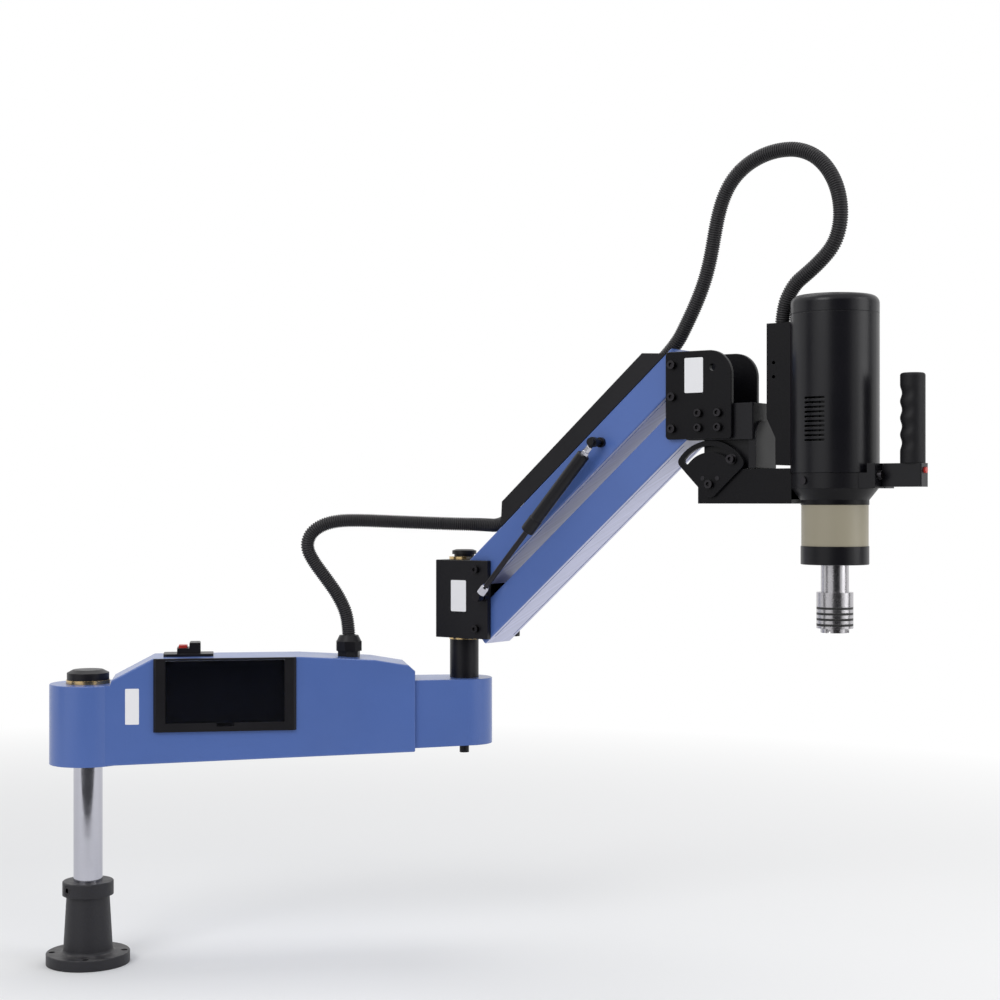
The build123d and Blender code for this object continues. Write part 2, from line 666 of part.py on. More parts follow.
def servo_drive():
    """Drive and power supply on a plate, screwed to the chamber's floor."""
    floor = arm_bottom_z(CAVITY_END_X) + CASE_WALL
    seat = floor + DRIVE_PLATE_T
    plate_x1 = CAVITY_END_X - DRIVE_END_GAP
    plate_x0 = plate_x1 - DRIVE_PLATE_LEN
    drive_x0 = plate_x0 + DRIVE_EDGE
    supply_x1 = plate_x1 - DRIVE_EDGE
    plate = block(plate_x0, plate_x1, -DRIVE_PLATE_HALF_W, DRIVE_PLATE_HALF_W, floor, seat)
    drive = block(drive_x0, drive_x0 + DRIVE_LEN, -DRIVE_HALF_W, DRIVE_HALF_W, seat, seat + DRIVE_H)
    supply = block(supply_x1 - SUPPLY_LEN, supply_x1, -SUPPLY_HALF_W, SUPPLY_HALF_W, seat, seat + SUPPLY_H)
    pitch = DRIVE_LEN / (DRIVE_FINS + 0.2)
    for i in range(DRIVE_FINS):
        x = drive_x0 + (i + 0.35) * pitch
        drive -= block(x, x + pitch / 2, -DRIVE_HALF_W - 1, DRIVE_HALF_W + 1,
                       seat + DRIVE_H * 0.78, seat + DRIVE_H + 1)
    return plate + drive + supply


def screen_bezel():
    x0, x1, z0, z1 = bezel_opening()
    front = -BOX_HALF_W - BEZEL_PROUD
    frame = block(BEZEL_X0, BEZEL_X0 + BEZEL_LEN, front, -BOX_HALF_W, BEZEL_Z0, BOX_TOP_Z)
    frame = chamfer(frame.edges().filter_by(Axis.Z).group_by(Axis.Y)[0], 4.0)
    frame -= block(x0, x1, front - 1, -BOX_HALF_W + 1, z0, z1)
    middle = (x0 + x1) / 2
    frame -= block(middle - LATCH_W / 2 - 1, middle + LATCH_W / 2 + 1, front - 1, front + DOOR_T + SLIP,
                   z0 - LATCH_H / 2, z0 + 1)
    return frame


def touch_screen():
    x0, x1, z0, z1 = bezel_opening()
    front = -BOX_HALF_W
    top = BOX_TOP_Z - CASE_WALL
    body = block(x0, x1, front, front + SCREEN_T, z0, top)
    lip = block(x0 + 10, x1 - 10, front - 1, front + 1, z0 + 8, top - 8)
    return body - lip


def smoked_door():
    """Clear smoked flap over the screen, hinged at its top edge, with a finger latch."""
    x0, x1, z0, z1 = bezel_opening()
    front = -BOX_HALF_W - BEZEL_PROUD
    middle = (x0 + x1) / 2
    pane = block(x0 + SLIP, x1 - SLIP, front, front + DOOR_T, z0 + SLIP, z1 - SLIP)
    pane = fillet(pane.edges().filter_by(Axis.X).group_by(Axis.Z)[-1], DOOR_T * 0.48)
    latch = block(middle - LATCH_W / 2, middle + LATCH_W / 2, front, front + DOOR_T,
                  z0 - LATCH_H / 2 + SLIP, z0 + 1)
    latch += block(middle - LATCH_W / 2 + 4, middle + LATCH_W / 2 - 4, front - 2, front + 1, z0, z0 + 5)
    return pane + latch


def switch_box():
    plate_top = BOX_TOP_Z + SWITCH_PLATE_T
    half = SWITCH_PLATE_W / 2
    plate = block(SWITCH_X0, SWITCH_X0 + SWITCH_PLATE_LEN, -half, half, BOX_TOP_Z, plate_top)
    plate = fillet(plate.edges().filter_by(Axis.Z), 6.0)
    body_half = SWITCH_BODY_W / 2
    body = block(SWITCH_BODY_X0, SWITCH_BODY_X0 + SWITCH_BODY_LEN, -body_half, body_half,
                 plate_top, plate_top + SWITCH_BODY_H)
    guard_x0 = SWITCH_BODY_X0 + SWITCH_BODY_LEN - GUARD_LEN
    guard = block(guard_x0, SWITCH_BODY_X0 + SWITCH_BODY_LEN, -body_half, body_half,
                  plate_top, plate_top + SWITCH_BODY_H + GUARD_H)
    guard = chamfer(guard.edges().filter_by(Axis.Y).group_by(Axis.Z)[-1], 1.5)
    body = body + guard + plate
    body -= button_well(0.0)
    return body - start_well()


def button_well(clear):
    """The pocket that the stop button slides in."""
    top = BOX_TOP_Z + SWITCH_PLATE_T + SWITCH_BODY_H
    x0 = SWITCH_BODY_X0 + 2 + clear
    return block(x0, SWITCH_BODY_X0 + 2 + BUTTON_LEN - clear, -BUTTON_W / 2 + clear, BUTTON_W / 2 - clear,
                 top - BUTTON_TRAVEL - 3 + clear, top + BUTTON_PROUD)


def start_well():
    top = BOX_TOP_Z + SWITCH_PLATE_T + SWITCH_BODY_H + GUARD_H
    x = SWITCH_BODY_X0 + SWITCH_BODY_LEN - GUARD_LEN / 2
    return Pos(x, 0, 0) * disc(START_R + SLIP, top - BUTTON_TRAVEL - 4, BUTTON_TRAVEL + 5)


def stop_button():
    top = BOX_TOP_Z + SWITCH_PLATE_T + SWITCH_BODY_H
    x0 = SWITCH_BODY_X0 + 2 + SLIP
    x1 = SWITCH_BODY_X0 + 2 + BUTTON_LEN - SLIP
    half = BUTTON_W / 2 - SLIP
    cap = block(x0, x1, -half, half, top - 2.5, top + BUTTON_PROUD)
    return fillet(cap.edges().filter_by(Axis.Y).group_by(Axis.Z)[-1], 1.5)


def start_button():
    top = BOX_TOP_Z + SWITCH_PLATE_T + SWITCH_BODY_H + GUARD_H
    x = SWITCH_BODY_X0 + SWITCH_BODY_LEN - GUARD_LEN / 2
    return Pos(x, 0, 0) * disc(START_R, top - 3.5, 3.5)


def gland_seat_z():
    """Height of the sloping top where the cable gland stands."""
    share = (GLAND_X - BOX_PLATEAU_END_X) / (GLAND_FALL_X - BOX_PLATEAU_END_X)
    return BOX_TOP_Z - GLAND_FALL * share


def gland_body():
    """Hexagonal gland body; its foot follows the sloping top."""
    top = GLAND_TOP_Z - GLAND_NUT_H
    foot = gland_seat_z() - 3
    body = Pos(GLAND_X, 0, foot) * extrude(RegularPolygon(GLAND_R, 6, rotation=15), amount=top - foot)
    body -= Pos(GLAND_X, 0, 0) * disc(HOSE_R + SLIP, foot - 1, 60)
    below = [(BOX_PLATEAU_END_X, foot - 20), (GLAND_FALL_X, foot - 20), (GLAND_FALL_X, BOX_TOP_Z - GLAND_FALL),
             (BOX_PLATEAU_END_X, BOX_TOP_Z)]
    return body - side_plate(below, -GLAND_R * 2, GLAND_R * 2)


def gland_nut():
    """Tapered round nut with flats, that grips the hose."""
    foot = GLAND_TOP_Z - GLAND_NUT_H
    grip = extrude(RegularPolygon(GLAND_NUT_R, 8, rotation=22.5), amount=GLAND_NUT_H * 0.62)
    nut = Pos(GLAND_X, 0, foot) * grip
    taper = frustum(GLAND_NUT_R * 0.92, GLAND_NUT_R * 0.7, foot + GLAND_NUT_H * 0.62, GLAND_NUT_H * 0.38)
    nut += Pos(GLAND_X, 0, 0) * taper
    nut -= Pos(GLAND_X, 0, 0) * disc(HOSE_BORE_R, foot - 1, GLAND_NUT_H + 2)
    return nut - Pos(GLAND_X, 0, 0) * disc(HOSE_END_R + RUNNING, GLAND_TOP_Z - HOSE_GRIP, GLAND_NUT_H)


# ---------------------------------------------------------------- hoses
def route_line(points):
    """Straight runs joined by tangent arcs, each as large as its two runs allow."""
    vectors = [Vector(*p) for p in points]
    radii = []
    for before, at, after in zip(vectors, vectors[1:], vectors[2:]):
        turn = math.radians((at - before).get_angle(after - at))
        shorter = min((at - before).length, (after - at).length)
        radii.append(0.45 * shorter / math.tan(turn / 2))
    print("  radii", [round(r) for r in radii])
    return FilletPolyline(*vectors, radius=radii)


def ribbed_hose(points, steady, name):
    """Ribbed conduit: a ruled loft through four circles for each rib, straight at both ends."""
    line = route_line(points)
    length = line.length
    plain = 2 * HOSE_R
    ribs = int((length - 2 * plain) / RIB_PITCH)
    pitch = (length - 2 * plain) / ribs
    print(f"  {name}: length {length:.1f}, ribs {ribs}")
    stations = [(0.0, HOSE_END_R)]
    for i in range(ribs):
        start = plain + i * pitch
        stations.append((start + pitch * 0.10, HOSE_END_R))
        stations.append((start + pitch * 0.28, HOSE_R))
        stations.append((start + pitch * 0.72, HOSE_R))
        stations.append((start + pitch * 0.90, HOSE_END_R))
    stations.append((length, HOSE_END_R))
    circles = []
    for distance, radius in stations:
        place = line.position_at(distance / length)
        heading = line.tangent_at(distance / length)
        x_dir = steady - heading * steady.dot(heading)
        circles.append(Plane(origin=place, x_dir=x_dir, z_dir=heading) * Circle(radius))
    outer = loft([c.face() for c in circles], ruled=True)
    start = Plane(origin=line @ 0, x_dir=steady - (line % 0) * steady.dot(line % 0), z_dir=line % 0)
    bore = sweep(start * Circle(HOSE_BORE_R), path=line)
    return outer - bore


def on_bar(frame, s):
    """Hose centre in the hood, at s along the upper bar."""
    return (frame * Pos(s, 0, HOSE_P)).position


def lower_hose():
    """From the gland on the lower arm, over the elbow, into the hood's lower end."""
    points = [(GLAND_X, 0, GLAND_TOP_Z - HOSE_GRIP), (GLAND_X, 0, GLAND_TOP_Z + 25)]
    points += LOWER_HOSE_MIDDLE
    points += [on_bar(UPPER_LINK, HOOD_S0 - 13), on_bar(UPPER_LINK, HOOD_S0 + 28.5)]
    return ribbed_hose(points, Vector(0, 1, 0), "hose_lower")


def upper_hose():
    """From the hood's upper end, in a high loop, down into the cable box's lid."""
    link = Pos(PIVOT_U, 0, UPPER_PIVOT_Z) * Rot(0, -LIFT_REST, 0)
    points = [on_bar(link, HOOD_S2 - 4.5), on_bar(link, HOOD_S3 + 6)]
    points += [(END_PIVOT_U + du, 0, UPPER_END_Z + dz) for du, dz in UPPER_HOSE_MIDDLE]
    points += [(BOX_HOSE_U, 0, CABLE_BOX_Z1 + 21), (BOX_HOSE_U, 0, CABLE_BOX_Z1 - 20)]
    return SWING * ribbed_hose(points, Vector(0, 1, 0), "hose_upper")


# ---------------------------------------------------------------- elbow
def elbow_shaft():
    """Pressed-in shaft, and the screw head under the arm's end that holds it."""
    body = disc(JOURNAL_R, END_BOTTOM_Z, ARM_END_TOP_Z - END_BOTTOM_Z)
    body += disc(SHAFT_R, ARM_END_TOP_Z, SHAFT_SHOULDER_Z - ARM_END_TOP_Z)
    body += disc(JOURNAL_R, SHAFT_SHOULDER_Z, ELBOW_TOP_Z + ELBOW_RING_H + SEAT - SHAFT_SHOULDER_Z)
    foot = disc(SHAFT_BOLT_R, END_BOTTOM_Z - SHAFT_BOLT_H, SHAFT_BOLT_H)
    return Pos(LOWER_ARM_LEN, 0, 0) * group(body, foot)


def elbow_rings():
    """Brass thrust washers above and below the elbow block."""
    low = tube(ELBOW_RING_R, JOURNAL_R, SHAFT_SHOULDER_Z, ELBOW_RING_H)
    high = tube(ELBOW_RING_R, JOURNAL_R, ELBOW_TOP_Z + SEAT, ELBOW_RING_H)
    return group(Pos(LOWER_ARM_LEN, 0, 0) * low, Pos(LOWER_ARM_LEN, 0, 0) * high)


def elbow_cap():
    z0 = ELBOW_TOP_Z + SEAT + ELBOW_RING_H
    neck = disc(JOURNAL_R, z0, ELBOW_NECK_H)
    top = disc(ELBOW_CAP_R, z0 + ELBOW_NECK_H, ELBOW_CAP_H)
    top = chamfer(top.edges().group_by(Axis.Z)[-1], 2.0, 6.0)
    return Pos(LOWER_ARM_LEN, 0, 0) * (neck + top)


def elbow_block():
    z0 = ELBOW_BLOCK_Z0
    z1 = ELBOW_TOP_Z
    body = block(-ELBOW_BACK, ELBOW_BLOCK_U1, -ELBOW_HALF_W, ELBOW_HALF_W, z0, z1)
    body = fillet(body.edges().filter_by(Axis.Z).group_by(Axis.X)[0], BLOCK_EDGE_R)
    body = chamfer(body.faces().sort_by(Axis.Z)[0].edges() + body.faces().sort_by(Axis.Z)[-1].edges(), 0.8)
    slot_u0 = PIVOT_U - EAR_SLOT_BACK
    body -= block(slot_u0, ELBOW_BLOCK_U1 + 1, -ELBOW_SLOT_V, ELBOW_SLOT_V, z0 - 1, z1 + 1)
    body -= disc(BUSH_R, z0 - 1, z1 - z0 + 2)
    for z in (UPPER_PIVOT_Z, LOWER_PIVOT_Z):
        body -= across(SCREW_SHANK_R, PIVOT_U, z, -ELBOW_HALF_W - 1, ELBOW_HALF_W + 1)
    return SWING * body


def pivot_pin(radius, u, z, half_in, half_out):
    """A pin between two plates, with a cap screw through each plate into its ends."""
    pin = across(radius, u, z, -half_in, half_in)
    pin += socket_screw(u, z, half_out, 1, half_out - half_in)
    return pin + socket_screw(u, z, -half_out, -1, half_out - half_in)


def elbow_pins():
    pins = [pivot_pin(PIN_R, PIVOT_U, z, ELBOW_SLOT_V, ELBOW_HALF_W) for z in (UPPER_PIVOT_Z, LOWER_PIVOT_Z)]
    return SWING * group(*pins)


def gas_stud(face, tip):
    """A stepped stud that stands out towards -y from a face."""
    base = across(GAS_STUD_BASE_R, 0, 0, -face, -face - GAS_STUD_BASE_T)
    return base + across(GAS_STUD_R, 0, 0, -face, -tip)


def gas_lower_stud():
    stud = gas_stud(ELBOW_HALF_W, GAS_V + GAS_EYE_T / 2 + SEAT)
    washer = across(GAS_STUD_R + 2.5, 0, 0, -GAS_V - GAS_EYE_T / 2 - SEAT, -GAS_V - GAS_EYE_T / 2 - SEAT - 3)
    return SWING * Pos(GAS_LOWER_U, 0, GAS_LOWER_Z) * (stud + washer)


# ---------------------------------------------------------------- arm bars
def arm_bar(tip):
    """A rectangular tube closed by two blocks that carry its bushed pivot eyes."""
    half = BAR_W / 2
    inner = half - BAR_WALL
    inner_p = BAR_H / 2 - BAR_WALL
    s1 = LINK_LEN + tip
    body = block(-BAR_OVERRUN, s1, -half, half, -BAR_H / 2, BAR_H / 2)
    body = fillet(body.edges().filter_by(Axis.X), BAR_CORNER_R)
    body -= block(EYE_BLOCK_LEN, LINK_LEN - EYE_BLOCK_LEN, -inner, inner, -inner_p, inner_p)
    for s in (0.0, LINK_LEN):
        body += across(EYE_R, s, 0, -half, half)
        body -= across(PIN_R + PIN_BUSH_WALL, s, 0, -half - 1, half + 1)
    for v in (-half + GROOVE_INSET, half - GROOVE_INSET - GROOVE_W):
        body -= block(10, LINK_LEN - 10, v, v + GROOVE_W, -BAR_H / 2 - 1, -BAR_H / 2 + GROOVE_DEPTH)
    return body


def bar_bushes():
    half = BAR_W / 2
    eyes = []
    for s in (0.0, LINK_LEN):
        bush = across(PIN_R + PIN_BUSH_WALL, s, 0, -half, half)
        eyes.append(bush - across(PIN_R + RUNNING, s, 0, -half - 1, half + 1))
    return group(*eyes)


def hood_outline():
    top = BAR_H / 2 + HOOD_RISE
    return [(HOOD_S0, BAR_H / 2), (HOOD_S1, top), (HOOD_S2, top), (HOOD_S3, BAR_H / 2)]


def cable_hood():
    """Folded sheet hood over the cables, open at both slanted ends."""
    half = BAR_W / 2
    body = side_plate(hood_outline(), -half, half)
    top = BAR_H / 2 + HOOD_RISE - HOOD_WALL
    s0 = HOOD_S0 - 20
    s3 = HOOD_S3 + 20
    inner = [(s0, BAR_H / 2 - 1), (s0, top), (s3, top), (s3, BAR_H / 2 - 1)]
    return UPPER_LINK * (body - side_plate(inner, -half + HOOD_WALL, half - HOOD_WALL))


def gas_upper_stud():
    stud = gas_stud(BAR_W / 2, GAS_V - GAS_EYE_T / 2 - SEAT)
    return UPPER_LINK * Pos(GAS_UPPER_S, 0, 0) * stud


# ---------------------------------------------------------------- gas spring
def gas_cylinder():
    """Pressure tube with its neck and upper eye; the eye lies against the stud's end."""
    x1 = GAS_LEN - GAS_NECK_LEN
    x0 = x1 - GAS_BODY_LEN
    body = along(GAS_BODY_R, 0, 0, x0, x1)
    body = chamfer(body.edges().group_by(Axis.X)[0] + body.edges().group_by(Axis.X)[-1], 1.5)
    collar = along(GAS_COLLAR_R, 0, 0, x0, x0 + GAS_COLLAR_LEN)
    body += chamfer(collar.edges().group_by(Axis.X)[0] + collar.edges().group_by(Axis.X)[-1], 0.7)
    body += along(GAS_NECK_R, 0, 0, x1, GAS_LEN - 4)
    body += across(GAS_EYE_R, GAS_LEN, 0, -GAS_EYE_T / 2, GAS_EYE_T / 2)
    body += across(GAS_STUD_R + 1.5, GAS_LEN, 0, -GAS_EYE_T / 2, -GAS_EYE_T / 2 - 5)
    body -= along(GAS_ROD_R + RUNNING, 0, 0, x0 - 1, x1 - 10)
    return GAS * body


def gas_rod():
    """Polished rod with a bright end fitting on the elbow's stud."""
    x0 = GAS_FOOT_LEN
    tip = GAS_LEN - GAS_NECK_LEN - GAS_BODY_LEN * 0.55
    rod = along(GAS_ROD_R, 0, 0, x0, tip)
    foot = along(GAS_NECK_R, 0, 0, 4, GAS_FOOT_LEN)
    foot += along(GAS_EYE_R * 0.75, 0, 0, GAS_EYE_R + 2, GAS_FOOT_LEN + 9)
    eye = across(GAS_EYE_R, 0, 0, -GAS_EYE_T / 2, GAS_EYE_T / 2)
    body = rod + foot + eye
    return GAS * (body - across(GAS_STUD_R + RUNNING, 0, 0, -GAS_EYE_T, GAS_EYE_T))


# ---------------------------------------------------------------- end plates
def cheek_face():
    outline = FilletPolyline(
        (CHEEK_U0, 0, CHEEK_Z0), (CHEEK_U1, 0, CHEEK_Z0), (CHEEK_U1, 0, CHEEK_Z1), (CHEEK_U0, 0, CHEEK_Z1),
        radius=[CHEEK_FOOT_R, CHEEK_FOOT_R, CHEEK_TOP_R, CHEEK_FOOT_R], close=True)
    return make_face(outline)


def cheek(y0, with_hole):
    plate = extrude(Pos(0, y0, 0) * cheek_face(), amount=CHEEK_T, dir=(0, 1, 0))
    plate = chamfer(plate.faces().sort_by(Axis.Y)[0].edges() + plate.faces().sort_by(Axis.Y)[-1].edges(), 0.8)
    if with_hole:
        hole_u = END_PIVOT_U + CHEEK_HOLE_REACH
        plate -= across(CHEEK_HOLE_R, hole_u, UPPER_END_Z - CHEEK_HOLE_DROP, y0 - 1, y0 + CHEEK_T + 1)
    for z in (UPPER_END_Z, (UPPER_END_Z + LOWER_END_Z) / 2, LOWER_END_Z):
        plate -= across(SCREW_SHANK_R, END_PIVOT_U, z, y0 - 1, y0 + CHEEK_T + 1)
    for u in CHEEK_SCREW_US:
        for z in CHEEK_SCREW_ZS:
            plate -= across(SCREW_SHANK_R, u, z, y0 - 1, y0 + CHEEK_T + 1)
    return SWING * plate


def carrier_pins():
    """Two pivot pins for the bars and a spacer pin midway between them."""
    middle = (UPPER_END_Z + LOWER_END_Z) / 2
    pins = []
    for radius, z in ((PIN_R, UPPER_END_Z), (SPACER_R, middle), (PIN_R, LOWER_END_Z)):
        pins.append(pivot_pin(radius, END_PIVOT_U, z, CHEEK_IN_V, CHEEK_OUT_V))
    return SWING * group(*pins)


def cheek_screws():
    screws = []
    for u in CHEEK_SCREW_US:
        for z in CHEEK_SCREW_ZS:
            screws.append(socket_screw(u, z, -CHEEK_OUT_V, -1, CHEEK_T + CHEEK_SCREW_DEPTH))
            screws.append(socket_screw(u, z, CHEEK_OUT_V, 1, CHEEK_T + CHEEK_SCREW_DEPTH))
    return SWING * group(*screws)


def end_block():
    body = block(END_BLOCK_U0, END_BLOCK_U1, -CHEEK_IN_V, CHEEK_IN_V, END_BLOCK_Z0, END_BLOCK_Z0 + END_BLOCK_H)
    body = chamfer(body.edges().filter_by(Axis.Z).group_by(Axis.X)[-1], 1.5)
    for u in CHEEK_SCREW_US:
        for z in CHEEK_SCREW_ZS:
            body -= across(SCREW_SHANK_R, u, z, -CHEEK_IN_V - 1, -CHEEK_IN_V + CHEEK_SCREW_DEPTH)
            body -= across(SCREW_SHANK_R, u, z, CHEEK_IN_V + 1, CHEEK_IN_V - CHEEK_SCREW_DEPTH)
    return SWING * body


# ---------------------------------------------------------------- tilt
def lock_place():
    angle = math.radians(LOCK_ANGLE)
    return TILT_U + SLOT_R * math.cos(angle), TILT_Z + SLOT_R * math.sin(angle)


def tilt_bracket():
    """Block hung under the end block, with a lug for the tilt pin and a tongue up the block's end."""
    half = BRACKET_HALF_W
    outline = [(BRACKET_U0, END_BLOCK_Z0), (BRACKET_U0, BRACKET_FOOT_Z), (TILT_U - LUG_R, TILT_Z),
               (TILT_U + LUG_R, TILT_Z), (TILT_U + LUG_R + 4, BRACKET_FOOT_Z), (END_BLOCK_U1, BRACKET_FOOT_Z),
               (END_BLOCK_U1, END_BLOCK_Z0)]
    body = side_plate(outline, -half, half) + across(LUG_R, TILT_U, TILT_Z, -half, half)
    body += block(PLATE_U0, END_BLOCK_U1 + 1, -TONGUE_HALF_W, TONGUE_HALF_W, BRACKET_FOOT_Z, END_BLOCK_Z0)
    tongue = block(END_BLOCK_U1, END_BLOCK_U1 + TONGUE_T, -TONGUE_HALF_W, TONGUE_HALF_W,
                   BRACKET_FOOT_Z, END_BLOCK_Z0 + TONGUE_RISE)
    body += fillet(tongue.edges().filter_by(Axis.X).group_by(Axis.Z)[-1], TONGUE_TOP_R)
    u, z = lock_place()
    body += across(LOCK_BOSS_R, u, z, -half + 1, -SECTOR_V + SEAT)
    body -= across(LOCK_BOLT_R, u, z, -SECTOR_V - 1, -half + 12)
    return SWING * (body - across(PIN_R + RUNNING, TILT_U, TILT_Z, -half - 1, half + 1))


def tilt_lock_bolt():
    """Clamping screw and washer in the sector's slot."""
    u, z = lock_place()
    face = -SECTOR_V - SECTOR_T - SEAT
    bolt = across(LOCK_BOLT_R, u, z, face, -BRACKET_HALF_W + 12)
    washer = face - LOCK_WASHER_T
    bolt += across(LOCK_WASHER_R, u, z, face, washer)
    bolt += across(HEAD_SCREW_R, u, z, washer, washer - HEAD_SCREW_H)
    hexagon = extrude(Rot(90, 0, 0) * RegularPolygon(HEX_R, 6), amount=4, both=True)
    return SWING * (bolt - Pos(u, washer - HEAD_SCREW_H, z) * hexagon)


def sector_face():
    """Fan-shaped plate: a round foot on the tilt axis and an arc rim above."""
    start = LOCK_ANGLE - SECTOR_START
    end = LOCK_ANGLE + TILT_RANGE + SECTOR_END
    hub_z = -SECTOR_HUB_DROP
    a0 = math.radians(start)
    a1 = math.radians(end)
    am = (a0 + a1) / 2
    right = (SECTOR_R * math.cos(a0), SECTOR_R * math.sin(a0))
    left = (SECTOR_R * math.cos(a1), SECTOR_R * math.sin(a1))
    top = (SECTOR_R * math.cos(am), SECTOR_R * math.sin(am))
    foot_r = (SECTOR_HUB_R * 0.75, hub_z - SECTOR_HUB_R * 0.62)
    foot_l = (-SECTOR_HUB_R * 0.75, hub_z - SECTOR_HUB_R * 0.62)
    foot = (0, hub_z - SECTOR_HUB_R)
    edges = [
        ThreePointArc(right, top, left), Line(left, foot_l),
        ThreePointArc(foot_l, foot, foot_r), Line(foot_r, right),
    ]
    face = make_face(Wire(edges))
    corners = [v for v in face.vertices() if abs(v.X) > SECTOR_HUB_R + 10]
    return fillet(corners, SECTOR_CORNER_R)


def tilt_sector():
    arc = CenterArc((0, 0), SLOT_R, LOCK_ANGLE - SLOT_SPARE, TILT_RANGE + 2 * SLOT_SPARE)
    profile = sector_face() - SlotArc(arc, SLOT_W)
    plate = extrude(profile, amount=SECTOR_T)
    plate = SWING * Pos(TILT_U, -SECTOR_V, TILT_Z) * Rot(90, 0, 0) * plate
    front = -SECTOR_V - SECTOR_T - 1
    back = -SECTOR_V + 1
    for du in (-DOWEL_SPREAD, DOWEL_SPREAD):
        plate -= SWING * across(DOWEL_R, TILT_U + du, TILT_Z + DOWEL_LIFT, front, back)
    return plate - SWING * across(SCREW_SHANK_R, TILT_U, TILT_Z, front, back)


def tilt_pin():
    """Tilt pin through the bar's walls, its screws and the sector's two dowels."""
    wall_in = HEAD_BAR_HALF_W
    pin = across(PIN_R, TILT_U, TILT_Z, -wall_in, wall_in)
    front = socket_screw(TILT_U, TILT_Z, -SECTOR_V - SECTOR_T, -1, SECTOR_T + 1)
    back = socket_screw(TILT_U, TILT_Z, wall_in, 1, 2)
    solids = [pin + front + back]
    for du in (-DOWEL_SPREAD, DOWEL_SPREAD):
        solids.append(across(DOWEL_R, TILT_U + du, TILT_Z + DOWEL_LIFT, -SECTOR_V - SECTOR_T - 0.6, -SECTOR_V))
    return SWING * group(*solids)


def head_bar():
    """Channel that straddles the bracket's lug and closes into a box towards the clamp ring."""
    half = HEAD_BAR_HALF_W
    inner = half - HEAD_BAR_WALL
    z0 = HEAD_BAR_Z0
    z1 = HEAD_BAR_TOP_Z
    body = block(HEAD_BAR_U0, HEAD_U, -half, half, z0, z1)
    body -= block(HEAD_BAR_U0 - 1, HEAD_BAR_CLOSED_U, -inner, inner, z0 + HEAD_BAR_WALL, z1 + 1)
    body -= block(HEAD_BAR_CLOSED_U - 1, HEAD_U, -inner, inner, z0 + HEAD_BAR_WALL, z1 - HEAD_BAR_WALL)
    body -= Pos(HEAD_U, 0, 0) * disc(RING_CLAMP_R, z0 - 1, HEAD_BAR_H + 2)
    body -= Pos(HEAD_U, 0, 0) * disc(COVER_R, COVER_Z0 - COVER_GAP, HEAD_BAR_H)
    body -= across(PIN_R, TILT_U, TILT_Z, -half - 1, half + 1)
    return SWING * body


# ---------------------------------------------------------------- tapping head
def clamp_ring():
    """Split ring round the housing's neck, with the lug that carries the handle."""
    body = tube(RING_CLAMP_R, HOUSING_NECK_R, RING_CLAMP_Z0, RING_CLAMP_H)
    x1 = COVER_R + LUG_REACH
    x0 = math.sqrt(RING_CLAMP_R ** 2 - LUG_HALF_W ** 2) - 3
    body += block(x0, x1, -LUG_HALF_W, LUG_HALF_W, RING_CLAMP_Z0, RING_CLAMP_Z0 + RING_CLAMP_H)
    body += block(COVER_R + COVER_GAP, x1, -LUG_HALF_W, LUG_HALF_W, RING_CLAMP_Z0, HANDLE_TOP_Z)
    body -= disc(HOUSING_NECK_R, RING_CLAMP_Z0 - 1, RING_CLAMP_H + 2)
    slit = RING_SLIT_W / 2
    body -= block(HOUSING_NECK_R - 2, x1 + 1, -slit, slit, RING_CLAMP_Z0 - 1, HANDLE_TOP_Z + 1)
    return HEAD * body


def clamp_screws():
    """Screws on both sides of the ring, and the two that hold the handle's lug."""
    z = RING_CLAMP_Z0 + RING_CLAMP_H / 2
    screws = []
    for angle in RING_SCREW_ANGLES:
        screws.append(Rot(0, 0, angle) * along(RING_SCREW_R, 0, z, RING_CLAMP_R, RING_CLAMP_R + 2.5))
    face = COVER_R + LUG_REACH
    for v in (-LUG_SCREW_V, LUG_SCREW_V):
        screws.append(along(HEAD_SCREW_R, v, (HANDLE_Z0 + HANDLE_TOP_Z) / 2, face, face + HEAD_SCREW_H))
    return HEAD * group(*screws)


def motor_cover():
    body = disc(COVER_R, COVER_Z0, COVER_H)
    body = fillet(body.edges().group_by(Axis.Z)[-1], COVER_TOP_R)
    cavity = disc(COVER_R - COVER_WALL, COVER_Z0 - 1, COVER_H + 1 - COVER_WALL)
    body -= fillet(cavity.edges().group_by(Axis.Z)[-1], COVER_TOP_R - COVER_WALL)
    seam = COVER_Z0 + COVER_H - COVER_LID_H
    body -= tube(COVER_R + 1, COVER_R - 0.7, seam, 1.2)
    for i in range(VENT_COUNT):
        z = COVER_Z0 + VENT_LIFT + i * VENT_PITCH
        slot = block(COVER_R - 12, COVER_R + 2, -VENT_LEN / 2, VENT_LEN / 2, z, z + VENT_H)
        body -= Rot(0, 0, VENT_ANGLE) * slot
    return HEAD * body


def motor_core():
    """Servo motor on the gearbox, inside the cover, with its fan cap on top."""
    body = disc(MOTOR_R, COVER_Z0, MOTOR_H)
    body += disc(MOTOR_R * 0.7, COVER_Z0 + MOTOR_H, 22)
    groove = block(MOTOR_R - 3, MOTOR_R + 1, -2, 2, COVER_Z0 + 25, COVER_Z0 + MOTOR_H - 25)
    for angle in range(0, 360, 15):
        body -= Rot(0, 0, angle) * groove
    return HEAD * (body - disc(SPINDLE_STEM_R + 1, COVER_Z0 - 1, 12))


